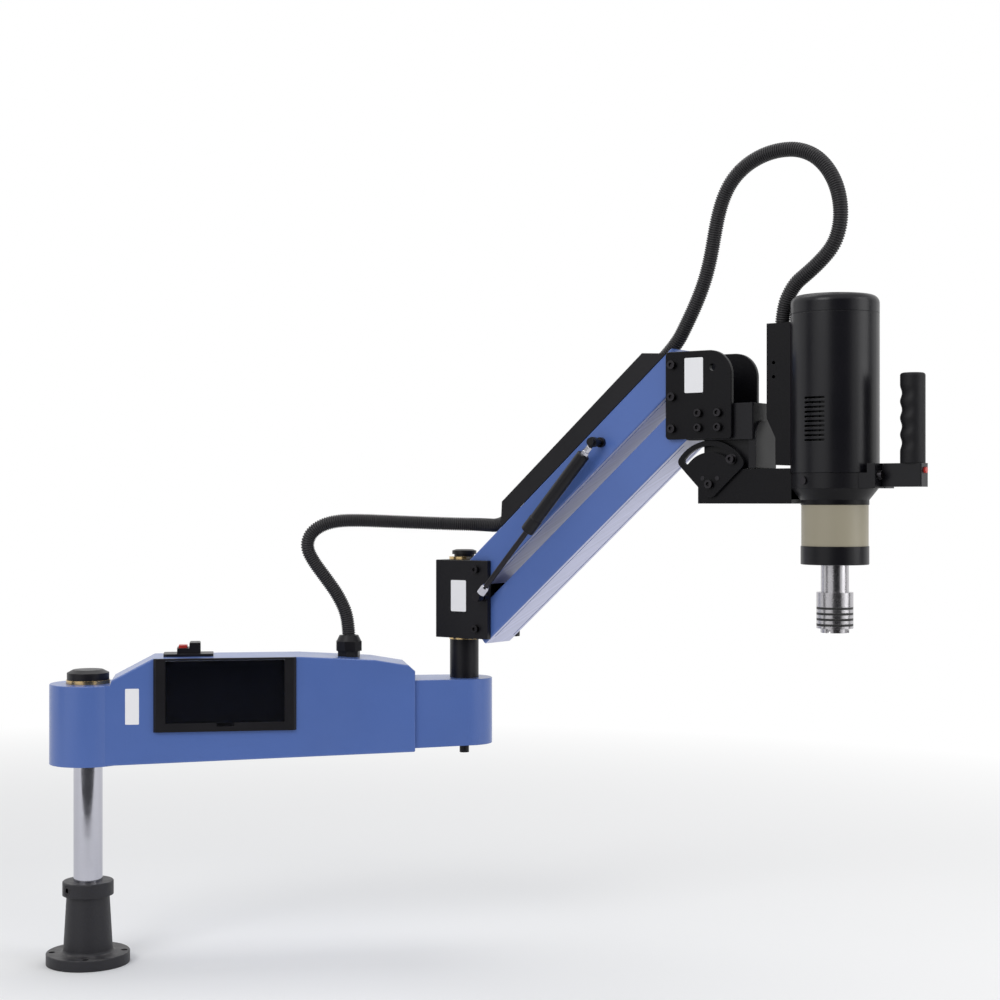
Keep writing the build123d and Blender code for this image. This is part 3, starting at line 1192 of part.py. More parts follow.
def gearbox_housing():
    body = disc(RING_CLAMP_R, RING_CLAMP_Z0 + RING_CLAMP_H, COVER_Z0 - RING_CLAMP_Z0 - RING_CLAMP_H)
    body += disc(HOUSING_NECK_R, RING_CLAMP_Z0, RING_CLAMP_H)
    body += frustum(HOUSING_R, RING_CLAMP_R, CONE_BOTTOM_Z, RING_CLAMP_Z0 - CONE_BOTTOM_Z)
    body += disc(HOUSING_R, HOUSING_Z0, CONE_BOTTOM_Z - HOUSING_Z0)
    body -= disc(BEARING_R, HOUSING_Z0 - 1, BEARING_T + 5)
    body -= disc(SPINDLE_STEM_R + 1, HOUSING_Z0, COVER_Z0 - HOUSING_Z0 + 1)
    return HEAD * body


def gearbox_ring():
    return HEAD * tube(GEAR_RING_R, GEAR_RING_R - GEAR_RING_WALL, GEAR_RING_Z0, HOUSING_Z0 - GEAR_RING_Z0)


def nose_ring():
    body = disc(NOSE_R, NOSE_Z0, GEAR_RING_Z0 - NOSE_Z0)
    body = chamfer(body.edges().group_by(Axis.Z)[0], 0.8)
    body -= disc(SPINDLE_R + SLIP, NOSE_Z0 - 1, NOSE_LIP_H + 2)
    body -= disc(BEARING_R, NOSE_Z0 + NOSE_LIP_H, NOSE_H)
    return HEAD * body


def spindle_bearings():
    """Ball races in the nose and in the housing, drawn as closed rings."""
    low = tube(BEARING_R, SPINDLE_STEM_R + RUNNING, NOSE_Z0 + NOSE_LIP_H, BEARING_T)
    high = tube(BEARING_R, SPINDLE_STEM_R + RUNNING, HOUSING_Z0, BEARING_T)
    return HEAD * group(low, high)


def spindle():
    shoulder = NOSE_Z0 + NOSE_LIP_H - SEAT
    body = disc(SPINDLE_R, SPINDLE_BOTTOM_Z, shoulder - SPINDLE_BOTTOM_Z)
    body += disc(SPINDLE_STEM_R, shoulder, SPINDLE_TOP_Z - shoulder)
    gear_z = (GEAR_RING_Z0 + HOUSING_Z0) / 2
    body += disc(GEAR_RING_R - GEAR_RING_WALL - 4, gear_z - GEAR_T / 2, GEAR_T)
    return HEAD * body


def chuck_body():
    """Quick-change tap holder: bore for the tap adapters and the nose ring below the sleeve."""
    body = disc(CHUCK_SKIRT_R, CHUCK_TIP_Z, SPINDLE_BOTTOM_Z - CHUCK_TIP_Z)
    body -= disc(CHUCK_BORE_R, CHUCK_TIP_Z - 1, CHUCK_BORE_LEN + 1)
    notch = block(CHUCK_BORE_R - 2, CHUCK_SKIRT_R + 1, -2.5, 2.5, CHUCK_TIP_Z - 1, CHUCK_TIP_Z + 4)
    for angle in (0, 90, 180, 270):
        body -= Rot(0, 0, angle) * notch
    return HEAD * body


def chuck_sleeve():
    """Sliding release sleeve with its grip grooves."""
    body = tube(SLEEVE_R, CHUCK_SKIRT_R + RUNNING, SLEEVE_Z0, SLEEVE_H)
    for i in range(SLEEVE_GROOVES):
        z = SLEEVE_Z0 + 3.5 + i * SLEEVE_GROOVE_PITCH
        body -= tube(SLEEVE_R + 1, SLEEVE_R - SLEEVE_GROOVE_DEPTH, z, SLEEVE_GROOVE_W)
    return HEAD * body


def cable_box():
    """Tall junction box against the motor cover, with the hose in its lid."""
    u0 = CABLE_BOX_U0
    foot_u = u0 + CABLE_BOX_STEP_U
    outline = [(u0, CABLE_BOX_Z1), (u0, CABLE_BOX_STEP_Z1), (foot_u, CABLE_BOX_STEP_Z0),
               (foot_u, CABLE_BOX_Z0), (CABLE_BOX_U1, CABLE_BOX_Z0), (CABLE_BOX_U1, CABLE_BOX_Z1)]
    w = CABLE_BOX_WALL
    inner_u1 = CABLE_BOX_U1 - w - 7
    inner = [(u0 + w, CABLE_BOX_Z1 - w), (u0 + w, CABLE_BOX_STEP_Z1 + 1),
             (foot_u + w, CABLE_BOX_STEP_Z0 + 1), (foot_u + w, CABLE_BOX_Z0 + w),
             (inner_u1, CABLE_BOX_Z0 + w), (inner_u1, CABLE_BOX_Z1 - w)]
    half = CABLE_BOX_HALF_W
    body = side_plate(outline, -half, half)
    body -= Pos(HEAD_U, 0, 0) * disc(COVER_R, CABLE_BOX_Z0 - 1, CABLE_BOX_H + 2)
    lining = Pos(HEAD_U, 0, 0) * disc(COVER_R + w, CABLE_BOX_Z0 - 1, CABLE_BOX_H + 2)
    body -= side_plate(inner, -half + w, half - w) - lining
    body -= Pos(BOX_HOSE_U, 0, 0) * disc(HOSE_END_R + RUNNING, CABLE_BOX_Z1 - w - 1, w + 2)
    for z in (CABLE_BOX_Z1 - 59, CABLE_BOX_Z1 - 80):
        body -= across(2.6, BOX_HOSE_U - 2, z, -half - 1, -half + w + 1)
    return SWING * body


# ---------------------------------------------------------------- handle
def handle_bar():
    half = HANDLE_HALF_W
    body = block(HANDLE_LUG_U1, HANDLE_END_U, -half, half, HANDLE_Z0, HANDLE_TOP_Z)
    body = chamfer(body.edges().filter_by(Axis.Z), 1.5)
    body += Pos(GRIP_U, 0, 0) * disc(GRIP_CORE_R, HANDLE_TOP_Z, GRIP_CORE_LEN)
    well = along(TRIGGER_R + SLIP, 0, TRIGGER_Z, HANDLE_END_U - TRIGGER_WELL, HANDLE_END_U + 1)
    return SWING * (body - well)


def handle_grip():
    """Rubber grip with finger grooves down one side."""
    z0 = HANDLE_TOP_Z
    body = disc(GRIP_R, z0, GRIP_H)
    body = fillet(body.edges().group_by(Axis.Z)[-1], 4.0)
    first = z0 + (GRIP_H - (GRIP_GROOVES - 1) * GRIP_GROOVE_PITCH) / 2
    x = -GRIP_R - GRIP_GROOVE_R + GRIP_GROOVE_DEPTH
    for i in range(GRIP_GROOVES):
        body -= across(GRIP_GROOVE_R, x, first + i * GRIP_GROOVE_PITCH, -GRIP_R, GRIP_R)
    body -= disc(GRIP_CORE_R, z0 - 1, GRIP_CORE_LEN + 1)
    return SWING * Pos(GRIP_U, 0, 0) * Rot(0, 0, GRIP_TURN) * body


def trigger_button():
    inner_end = HANDLE_END_U - TRIGGER_WELL + 3
    return SWING * along(TRIGGER_R, 0, TRIGGER_Z, inner_end, HANDLE_END_U + TRIGGER_PROUD)


# ---------------------------------------------------------------- build
save(base_stand(), "base_stand")
save(lock_screws(), "base_lock_screws")
save(column(), "column")
save(end_cap(CAP_R, BOSS_TOP_Z + RING_H, CAP_H, COLUMN_BORE_R, 20), "column_cap")
save(tube(RING_R, JOURNAL_R, BOSS_TOP_Z + SEAT, RING_H - SEAT), "column_ring")
save(lower_arm_case(), "lower_arm_case")
save(rear_panel(), "rear_panel")
save(panel_screws(), "panel_screws")
save(bushes(0, COLUMN_SHOULDER_Z + SEAT, BOSS_TOP_Z), "column_bushes")
save(servo_drive(), "servo_drive")
save(screen_bezel(), "screen_bezel")
save(touch_screen(), "touch_screen")
save(smoked_door(), "smoked_door")
save(switch_box(), "switch_box")
save(stop_button(), "stop_button")
save(start_button(), "start_button")
save(gland_body(), "gland_body")
save(gland_nut(), "gland_nut")
save(lower_hose(), "hose_lower")
save(elbow_shaft(), "elbow_shaft")
save(elbow_rings(), "elbow_rings")
save(elbow_cap(), "elbow_cap")
save(elbow_block(), "elbow_block")
save(SWING * bushes(0, ELBOW_BLOCK_Z0, ELBOW_TOP_Z), "elbow_bushes")
save(elbow_pins(), "elbow_pins")
save(gas_lower_stud(), "gas_lower_stud")
save(UPPER_LINK * arm_bar(UPPER_BAR_TIP), "upper_bar")
save(UPPER_LINK * bar_bushes(), "upper_bar_bushes")
save(cable_hood(), "cable_hood")
save(gas_upper_stud(), "gas_upper_stud")
save(LOWER_LINK * arm_bar(LOWER_BAR_TIP), "lower_bar")
save(LOWER_LINK * bar_bushes(), "lower_bar_bushes")
save(gas_cylinder(), "gas_cylinder")
save(gas_rod(), "gas_rod")
save(cheek(-CHEEK_OUT_V, True), "front_cheek")
save(cheek(CHEEK_IN_V, False), "rear_cheek")
save(carrier_pins(), "carrier_pins")
save(cheek_screws(), "cheek_screws")
save(end_block(), "end_block")
save(tilt_bracket(), "tilt_bracket")
save(tilt_lock_bolt(), "tilt_lock_bolt")
save(tilt_sector(), "tilt_sector")
save(tilt_pin(), "tilt_pin")
save(head_bar(), "head_bar")
save(clamp_ring(), "clamp_ring")
save(clamp_screws(), "clamp_screws")
save(motor_cover(), "motor_cover")
save(motor_core(), "motor_core")
save(gearbox_housing(), "gearbox_housing")
save(gearbox_ring(), "gearbox_ring")
save(nose_ring(), "nose_ring")
save(spindle_bearings(), "spindle_bearings")
save(spindle(), "spindle")
save(chuck_body(), "chuck_body")
save(chuck_sleeve(), "chuck_sleeve")
save(cable_box(), "cable_box")
save(handle_bar(), "handle_bar")
save(handle_grip(), "handle_grip")
save(trigger_button(), "trigger_button")
save(upper_hose(), "hose_upper")
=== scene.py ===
"""Looks of the arm tapping machine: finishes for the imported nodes, the moulded, ribbed and knurled
pieces that stand for some of them, a pale floor, soft studio light and the camera."""
import json
import math

import bmesh
import bpy
from mathutils import Matrix, Vector


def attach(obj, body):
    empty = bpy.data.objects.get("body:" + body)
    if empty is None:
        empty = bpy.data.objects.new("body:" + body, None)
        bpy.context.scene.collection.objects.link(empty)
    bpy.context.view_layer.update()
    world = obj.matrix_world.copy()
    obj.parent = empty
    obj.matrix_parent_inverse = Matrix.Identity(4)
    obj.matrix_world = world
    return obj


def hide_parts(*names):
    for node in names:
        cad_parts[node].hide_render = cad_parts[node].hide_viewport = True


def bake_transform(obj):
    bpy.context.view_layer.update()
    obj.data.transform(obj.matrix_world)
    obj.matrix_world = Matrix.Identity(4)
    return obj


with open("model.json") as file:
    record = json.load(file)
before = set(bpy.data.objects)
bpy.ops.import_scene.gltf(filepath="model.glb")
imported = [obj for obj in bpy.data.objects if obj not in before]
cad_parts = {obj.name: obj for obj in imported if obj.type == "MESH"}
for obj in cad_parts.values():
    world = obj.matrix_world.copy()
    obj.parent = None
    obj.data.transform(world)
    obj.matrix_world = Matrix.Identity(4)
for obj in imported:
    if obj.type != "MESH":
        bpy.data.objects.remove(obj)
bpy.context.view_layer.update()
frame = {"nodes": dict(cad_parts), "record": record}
mm = 0.001

# ------------------------------------------------------------------ frames of the machine
ELBOW_X = 622 * mm
SWING_REST = math.radians(-43.8)
LIFT_REST = math.radians(41.0)
PIVOT_U = 58.5 * mm
UPPER_PIVOT_Z = 642 * mm
GAS_EYE = (73.5 * mm, -62 * mm, 598 * mm)
GAS_ANGLE = math.radians(48.398)
GAS_LEN = 334.33 * mm
HEAD_U = 677.06 * mm
GRIP_U = 798.06 * mm
HANDLE_TOP_Z = 810.03 * mm
SWING = Matrix.Translation((ELBOW_X, 0, 0)) @ Matrix.Rotation(SWING_REST, 4, "Z")
UPPER_LINK = (SWING @ Matrix.Translation((PIVOT_U, 0, UPPER_PIVOT_Z))
              @ Matrix.Rotation(-LIFT_REST, 4, "Y"))
GAS = SWING @ Matrix.Translation(GAS_EYE) @ Matrix.Rotation(-GAS_ANGLE, 4, "Y")
HEAD = SWING @ Matrix.Translation((HEAD_U, 0, 0))


# ------------------------------------------------------------------ camera
def set_camera():
    """The photograph's view, solved from its edges and pivots."""
    data = bpy.data.cameras.new("photo_camera")
    data.lens = 64.8
    data.sensor_width = 36.0
    data.clip_end = 60
    camera = bpy.data.objects.new("photo_camera", data)
    bpy.context.scene.collection.objects.link(camera)
    camera.location = (0.2158, -3.0185, 0.757)
    camera.rotation_euler = (math.radians(90), 0, math.radians(-8.8))
    bpy.context.scene.camera = camera


# ------------------------------------------------------------------ shared effects
def effect(name, inputs, outputs):
    """An empty shader node group with named sockets."""
    tree = bpy.data.node_groups.new(name, "ShaderNodeTree")
    for label, kind, value in inputs:
        socket = tree.interface.new_socket(label, in_out="INPUT", socket_type=kind)
        if value is not None:
            socket.default_value = value
    for label, kind in outputs:
        tree.interface.new_socket(label, in_out="OUTPUT", socket_type=kind)
    return tree, tree.nodes.new("NodeGroupInput"), tree.nodes.new("NodeGroupOutput")


def add(tree, kind, **settings):
    node = tree.nodes.new(kind)
    for key, value in settings.items():
        setattr(node, key, value)
    return node


def noise(tree, scale, detail=3.0, vector=None):
    node = tree.nodes.new("ShaderNodeTexNoise")
    node.inputs["Detail"].default_value = detail
    if isinstance(scale, (int, float)):
        node.inputs["Scale"].default_value = scale
    else:
        tree.links.new(scale, node.inputs["Scale"])
    place = vector or tree.nodes.new("ShaderNodeTexCoord").outputs["Object"]
    tree.links.new(place, node.inputs["Vector"])
    return node


def maths(tree, operation, a, b, clamp=False):
    node = add(tree, "ShaderNodeMath", operation=operation, use_clamp=clamp)
    for slot, value in enumerate((a, b)):
        if isinstance(value, (int, float)):
            node.inputs[slot].default_value = value
        else:
            tree.links.new(value, node.inputs[slot])
    return node.outputs[0]


def span(tree, value, low, high):
    """A value brought from low..high to 0..1."""
    node = add(tree, "ShaderNodeMapRange", clamp=True)
    tree.links.new(value, node.inputs["Value"])
    node.inputs["From Min"].default_value = low
    node.inputs["From Max"].default_value = high
    node.inputs["To Min"].default_value = 0.0
    node.inputs["To Max"].default_value = 1.0
    return node.outputs["Result"]


def make_worn_edges():
    """Mask that is 1 on rubbed outer edges, broken up by a fine noise."""
    tree, inn, out = effect(
        "worn edges",
        [("Radius", "NodeSocketFloat", 0.0015), ("Amount", "NodeSocketFloat", 0.5),
         ("Break Up", "NodeSocketFloat", 90.0)],
        [("Mask", "NodeSocketFloat")])
    bevel = add(tree, "ShaderNodeBevel", samples=4)
    tree.links.new(inn.outputs["Radius"], bevel.inputs["Radius"])
    geometry = tree.nodes.new("ShaderNodeNewGeometry")
    dot = add(tree, "ShaderNodeVectorMath", operation="DOT_PRODUCT")
    tree.links.new(bevel.outputs["Normal"], dot.inputs[0])
    tree.links.new(geometry.outputs["Normal"], dot.inputs[1])
    edge = span(tree, dot.outputs["Value"], 0.985, 0.80)
    grain = noise(tree, inn.outputs["Break Up"], 5)
    patch = span(tree, grain.outputs["Fac"], 0.46, 0.66)
    mask = maths(tree, "MULTIPLY", maths(tree, "MULTIPLY", edge, patch), inn.outputs["Amount"], True)
    tree.links.new(mask, out.inputs["Mask"])
    return tree


def make_soft_edges():
    """Normal that rounds the machined edges a little."""
    tree, inn, out = effect(
        "soft edges", [("Radius", "NodeSocketFloat", 0.0008)], [("Normal", "NodeSocketVector")])
    bevel = add(tree, "ShaderNodeBevel", samples=4)
    tree.links.new(inn.outputs["Radius"], bevel.inputs["Radius"])
    tree.links.new(bevel.outputs["Normal"], out.inputs["Normal"])
    return tree


def make_orange_peel():
    """Height of sprayed enamel or powder coat: a soft ripple and finer specks."""
    tree, inn, out = effect(
        "orange peel",
        [("Ripple Scale", "NodeSocketFloat", 260.0), ("Speck Scale", "NodeSocketFloat", 1500.0),
         ("Speck Share", "NodeSocketFloat", 0.3)],
        [("Height", "NodeSocketFloat")])
    ripple = noise(tree, inn.outputs["Ripple Scale"], 1)
    speck = noise(tree, inn.outputs["Speck Scale"], 2)
    part = maths(tree, "MULTIPLY", speck.outputs["Fac"], inn.outputs["Speck Share"])
    tree.links.new(maths(tree, "ADD", ripple.outputs["Fac"], part), out.inputs["Height"])
    return tree


def make_handling():
    """Broad smudges where hands and cloths have been, as a value round zero."""
    tree, inn, out = effect(
        "handling marks",
        [("Scale", "NodeSocketFloat", 14.0), ("Amount", "NodeSocketFloat", 0.1)],
        [("Value", "NodeSocketFloat")])
    cloud = noise(tree, inn.outputs["Scale"], 6)
    centred = maths(tree, "SUBTRACT", cloud.outputs["Fac"], 0.5)
    tree.links.new(maths(tree, "MULTIPLY", centred, inn.outputs["Amount"]), out.inputs["Value"])
    return tree


def make_dust():
    """Thin dust on faces that look up."""
    tree, inn, out = effect(
        "settled dust",
        [("Amount", "NodeSocketFloat", 0.15), ("Scale", "NodeSocketFloat", 60.0)],
        [("Mask", "NodeSocketFloat")])
    geometry = tree.nodes.new("ShaderNodeNewGeometry")
    axes = tree.nodes.new("ShaderNodeSeparateXYZ")
    tree.links.new(geometry.outputs["Normal"], axes.inputs[0])
    up = span(tree, axes.outputs["Z"], 0.5, 1.0)
    cloud = noise(tree, inn.outputs["Scale"], 6)
    patch = span(tree, cloud.outputs["Fac"], 0.35, 0.7)
    mask = maths(tree, "MULTIPLY", maths(tree, "MULTIPLY", up, patch), inn.outputs["Amount"], True)
    tree.links.new(mask, out.inputs["Mask"])
    return tree


def make_tool_lines():
    """Fine lines left by turning, grinding or drawing, stretched square to the axis they wrap."""
    tree, inn, out = effect(
        "tool lines",
        [("Stretch", "NodeSocketVector", (1.0, 1.0, 40.0)), ("Scale", "NodeSocketFloat", 60.0)],
        [("Height", "NodeSocketFloat"), ("Tone", "NodeSocketFloat")])
    place = tree.nodes.new("ShaderNodeTexCoord")
    stretch = add(tree, "ShaderNodeVectorMath", operation="MULTIPLY")
    tree.links.new(place.outputs["Object"], stretch.inputs[0])
    tree.links.new(inn.outputs["Stretch"], stretch.inputs[1])
    fine = noise(tree, inn.outputs["Scale"], 4, stretch.outputs[0])
    tree.links.new(fine.outputs["Fac"], out.inputs["Height"])
    tree.links.new(span(tree, fine.outputs["Fac"], 0.3, 0.7), out.inputs["Tone"])
    return tree


def make_cast_skin():
    """Height and tone of a sand-cast face under paint."""
    tree, inn, out = effect(
        "cast skin",
        [("Grain Scale", "NodeSocketFloat", 420.0), ("Lump Scale", "NodeSocketFloat", 70.0)],
        [("Height", "NodeSocketFloat"), ("Tone", "NodeSocketFloat")])
    grain = noise(tree, inn.outputs["Grain Scale"], 6)
    lump = noise(tree, inn.outputs["Lump Scale"], 3)
    half = maths(tree, "MULTIPLY", lump.outputs["Fac"], 1.6)
    tree.links.new(maths(tree, "ADD", grain.outputs["Fac"], half), out.inputs["Height"])
    tree.links.new(span(tree, grain.outputs["Fac"], 0.3, 0.7), out.inputs["Tone"])
    return tree


EFFECTS = {
    "worn": make_worn_edges(), "soft": make_soft_edges(), "peel": make_orange_peel(),
    "handling": make_handling(), "dust": make_dust(), "lines": make_tool_lines(),
    "cast": make_cast_skin(),
}


# ------------------------------------------------------------------ finishes
DUST_COLOUR = (0.3, 0.29, 0.28)
DUST_ON_PAINT = (0.42, 0.41, 0.39)
DARKER_COAT = 0.88
DRAWN_LINE_TONE = 0.72
TOOL_LINE_TONE = 0.6


class Finish:
    """A material on one Principled BSDF, built up from the shared effects."""

    def __init__(self, name, colour, roughness, metallic=0.0, **sockets):
        self.material = bpy.data.materials.new(name)
        self.material.use_nodes = True
        self.tree = self.material.node_tree
        self.shader = self.tree.nodes["Principled BSDF"]
        self.shader.inputs["Base Color"].default_value = (*colour, 1)
        self.shader.inputs["Roughness"].default_value = roughness
        self.shader.inputs["Metallic"].default_value = metallic
        for label, value in sockets.items():
            self.shader.inputs[label.replace("_", " ")].default_value = value
        self.roughness = roughness
        self.material.diffuse_color = (*colour, 1)

    def use(self, effect_name, **values):
        node = self.tree.nodes.new("ShaderNodeGroup")
        node.node_tree = EFFECTS[effect_name]
        for label, value in values.items():
            node.inputs[label.replace("_", " ")].default_value = value
        return node

    def tint(self, mask, colour):
        """Mix another colour in by a mask."""
        mix = add(self.tree, "ShaderNodeMix", data_type="RGBA")
        self.tree.links.new(mask, mix.inputs["Factor"])
        base = self.shader.inputs["Base Color"]
        if base.is_linked:
            self.tree.links.new(base.links[0].from_socket, mix.inputs["A"])
        else:
            mix.inputs["A"].default_value = base.default_value
        mix.inputs["B"].default_value = (*colour, 1)
        self.tree.links.new(mix.outputs["Result"], base)

    def facing(self, direction):
        """Mask of the faces that look one way on the piece itself."""
        place = self.tree.nodes.new("ShaderNodeTexCoord")
        dot = add(self.tree, "ShaderNodeVectorMath", operation="DOT_PRODUCT")
        self.tree.links.new(place.outputs["Normal"], dot.inputs[0])
        dot.inputs[1].default_value = direction
        return span(self.tree, dot.outputs["Value"], 0.93, 0.98)

    def vary_roughness(self, value):
        total = maths(self.tree, "ADD", value, self.roughness, True)
        self.tree.links.new(total, self.shader.inputs["Roughness"])

    def bump(self, height, distance, strength=1.0):
        node = self.tree.nodes.new("ShaderNodeBump")
        node.inputs["Distance"].default_value = distance
        node.inputs["Strength"].default_value = strength
        self.tree.links.new(height, node.inputs["Height"])
        normal = self.shader.inputs["Normal"]
        if normal.is_linked:
            self.tree.links.new(normal.links[0].from_socket, node.inputs["Normal"])
        self.tree.links.new(node.outputs["Normal"], normal)

    def ease(self, radius):
        node = self.use("soft", Radius=radius)
        self.tree.links.new(node.outputs["Normal"], self.shader.inputs["Normal"])


def shaded(colour, share):
    return tuple(c * share for c in colour)


def coated(name, colour, worn_colour, roughness, peel=0.00012, worn=0.5, ripple=260.0, dust=0.1,
           pale_underside_and_floor_reflection=None, **sockets):
    """Sprayed enamel or powder coat, rubbed at its edges; one face may be tinted pale, with drawn
    lines: on the bars' underside this pale tint is partly the bare metal there and partly a painted
    reflection of the pale floor.
    """
    finish = Finish(name, colour, roughness, **sockets)
    finish.ease(0.0009)
    finish.bump(finish.use("peel", Ripple_Scale=ripple).outputs["Height"], peel)
    shade = finish.use("handling", Scale=5.0, Amount=1.0).outputs["Value"]
    finish.tint(span(finish.tree, shade, -0.2, 0.25), shaded(colour, DARKER_COAT))
    # painted reflection: the pale tint on the chosen face stands partly for the floor's light
    # reflected in it, partly for bare metal
    if pale_underside_and_floor_reflection:
        direction, pale = pale_underside_and_floor_reflection
        face = finish.facing(direction)
        finish.tint(face, pale)
        drawn = finish.use("lines", Stretch=(0.0, 1.0, 0.0), Scale=170.0).outputs["Tone"]
        finish.tint(maths(finish.tree, "MULTIPLY", face, drawn), shaded(pale, DRAWN_LINE_TONE))
    finish.tint(finish.use("worn", Amount=worn).outputs["Mask"], worn_colour)
    finish.tint(finish.use("dust", Amount=dust).outputs["Mask"], DUST_ON_PAINT)
    finish.vary_roughness(finish.use("handling", Amount=0.16).outputs["Value"])
    return finish.material


def metal(name, colour, roughness, stretch, scale=60.0, depth=0.00002, tone=0.18):
    """Bare or plated metal with its tool lines."""
    finish = Finish(name, colour, roughness, 1.0)
    finish.ease(0.0004)
    lines = finish.use("lines", Stretch=stretch, Scale=scale)
    finish.bump(lines.outputs["Height"], depth)
    tone_mask = maths(finish.tree, "MULTIPLY", lines.outputs["Tone"], tone)
    finish.tint(tone_mask, shaded(colour, TOOL_LINE_TONE))
    finish.vary_roughness(finish.use("handling", Scale=30.0, Amount=0.22).outputs["Value"])
    return finish.material


def moulded(name, colour, roughness, grain=900.0, depth=0.00005, dust=0.08, **sockets):
    """Moulded plastic or rubber with a fine grain."""
    finish = Finish(name, colour, roughness, **sockets)
    finish.ease(0.0005)
    finish.bump(finish.use("peel", Ripple_Scale=grain, Speck_Scale=grain * 3).outputs["Height"], depth)
    rubbed = finish.use("worn", Radius=0.0008, Amount=0.25)
    finish.tint(rubbed.outputs["Mask"], tuple(c * 2.2 + 0.01 for c in colour))
    finish.tint(finish.use("dust", Amount=dust).outputs["Mask"], DUST_COLOUR)
    finish.vary_roughness(finish.use("handling", Scale=22.0, Amount=0.2).outputs["Value"])
    return finish.material


def casting(name, colour, roughness):
    """Painted sand casting, its edges rubbed and its ledges dusty."""
    finish = Finish(name, colour, roughness, Specular_IOR_Level=0.35)
    finish.ease(0.0012)
    skin = finish.use("cast")
    finish.bump(skin.outputs["Height"], 0.0004, 0.8)
    tone_mask = maths(finish.tree, "MULTIPLY", skin.outputs["Tone"], 0.35)
    finish.tint(tone_mask, shaded(colour, 1.5))
    rubbed = finish.use("worn", Radius=0.002, Amount=0.5, Break_Up=60.0)
    finish.tint(rubbed.outputs["Mask"], (0.16, 0.15, 0.15))
    finish.tint(finish.use("dust", Amount=0.25).outputs["Mask"], DUST_COLOUR)
    finish.vary_roughness(finish.use("handling", Amount=0.2).outputs["Value"])
    return finish.material


def smoked_clear():
    """Smoked clear plastic: see-through, with fine wiping marks."""
    finish = Finish("smoked clear", (0.50, 0.52, 0.60), 0.06, IOR=1.49, Transmission_Weight=1.0)
    finish.vary_roughness(finish.use("handling", Scale=18.0, Amount=0.08).outputs["Value"])
    finish.bump(finish.use("handling", Scale=9.0, Amount=1.0).outputs["Value"], 0.0002, 0.3)
    return finish.material


def display_glass():
    """Dark touch screen, switched off."""
    finish = Finish("display glass", (0.010, 0.012, 0.024), 0.12, Coat_Weight=0.6, Coat_Roughness=0.05)
    cloud = finish.use("handling", Scale=6.0, Amount=1.0).outputs["Value"]
    finish.tint(span(finish.tree, cloud, -0.1, 0.3), (0.014, 0.020, 0.040))
    finish.vary_roughness(finish.use("handling", Scale=25.0, Amount=0.25).outputs["Value"])
    return finish.material


BLUE = (0.076, 0.145, 0.415)
BLUE_COAT = {"worn_colour": (0.20, 0.27, 0.45), "roughness": 0.32, "ripple": 320.0, "worn": 0.35,
             "Specular_IOR_Level": 0.45, "Coat_Weight": 0.2, "Coat_Roughness": 0.15}
BAR_UNDERSIDE = tuple(UPPER_LINK.to_3x3() @ Vector((0, 0, -1)))
FINISHES = {
    "blue_paint": coated("blue enamel", BLUE, **BLUE_COAT),
    # the bars' undersides are tinted pale lavender: partly bare metal, partly a painted reflection of
    # the floor
    "bar_paint": coated("blue enamel on the bars", BLUE,
                        pale_underside_and_floor_reflection=(BAR_UNDERSIDE, (0.55, 0.57, 0.78)), **BLUE_COAT),
    "dark_iron": casting("dark painted casting", (0.017, 0.0165, 0.020), 0.5),
    "chromed_steel": metal("hard chrome", (0.54, 0.54, 0.60), 0.12, (1.0, 1.0, 30.0), 50.0,
                           0.000002, tone=0.10),
    "black_plastic": moulded("black moulding", (0.0075, 0.0070, 0.0090), 0.40, dust=0.04,
                             Specular_IOR_Level=0.28),
    "black_paint": coated("black enamel", (0.0065, 0.0062, 0.0085), (0.06, 0.06, 0.065), 0.38,
                          worn=0.25, dust=0.03, Specular_IOR_Level=0.26),
    "head_black": coated("deep black enamel", (0.0034, 0.0032, 0.0046), (0.05, 0.05, 0.055), 0.38,
                         worn=0.25, dust=0.01, Specular_IOR_Level=0.17),
    "brass_ring": metal("turned brass", (0.62, 0.45, 0.22), 0.24, (1.0, 1.0, 60.0)),
    "smoked_pane": smoked_clear(),
    "screen_dark": display_glass(),
    "red_plastic": moulded("red button", (0.50, 0.030, 0.022), 0.3, grain=1500.0,
                           depth=0.00002, dust=0.03),
    "hose_plastic": moulded("hose plastic", (0.020, 0.019, 0.021), 0.46, grain=1400.0, dust=0.12,
                            Specular_IOR_Level=0.35),
    "zinc_steel": metal("plated steel", (0.50, 0.49, 0.51), 0.26, (1.0, 1.0, 30.0), 70.0, 0.000003),
    "bright_alloy": metal("machined alloy", (0.58, 0.58, 0.60), 0.36, (1.0, 1.0, 24.0), 70.0,
                          0.000006),
    "black_alloy": coated("black anodised", (0.0060, 0.0058, 0.0078), (0.06, 0.06, 0.065), 0.34,
                          peel=0.00004, ripple=900.0, worn=0.25, dust=0.03, Specular_IOR_Level=0.26),
    "beige_ring": coated("warm anodised ring", (0.315, 0.285, 0.210), (0.45, 0.42, 0.33), 0.40,
                         peel=0.00001, ripple=900.0, worn=0.2, dust=0.03, Specular_IOR_Level=0.4),
    "bronze_bush": metal("bush bronze", (0.42, 0.27, 0.13), 0.4, (1.0, 1.0, 20.0), 60.0),
    "grip_rubber": moulded("grip rubber", (0.0070, 0.0068, 0.0085), 0.55, grain=700.0,
                           depth=0.00008, dust=0.03, Specular_IOR_Level=0.26),
    "cover_paint": coated("dark powder coat", (0.0058, 0.0056, 0.0080), (0.05, 0.05, 0.055), 0.30,
                          peel=0.00005, ripple=600.0, worn=0.2, dust=0.02, Specular_IOR_Level=0.30),
    "blackened_steel": metal("blackened steel", (0.040, 0.038, 0.042), 0.34, (1.0, 1.0, 30.0), 80.0,
                             0.000004, tone=0.3),
    "plate_white": moulded("blank plate", (0.80, 0.80, 0.82), 0.35, grain=1600.0,
                           depth=0.00001, dust=0.05),
    "seal_rubber": moulded("seal rubber", (0.010, 0.010, 0.010), 0.55, grain=1200.0),
}


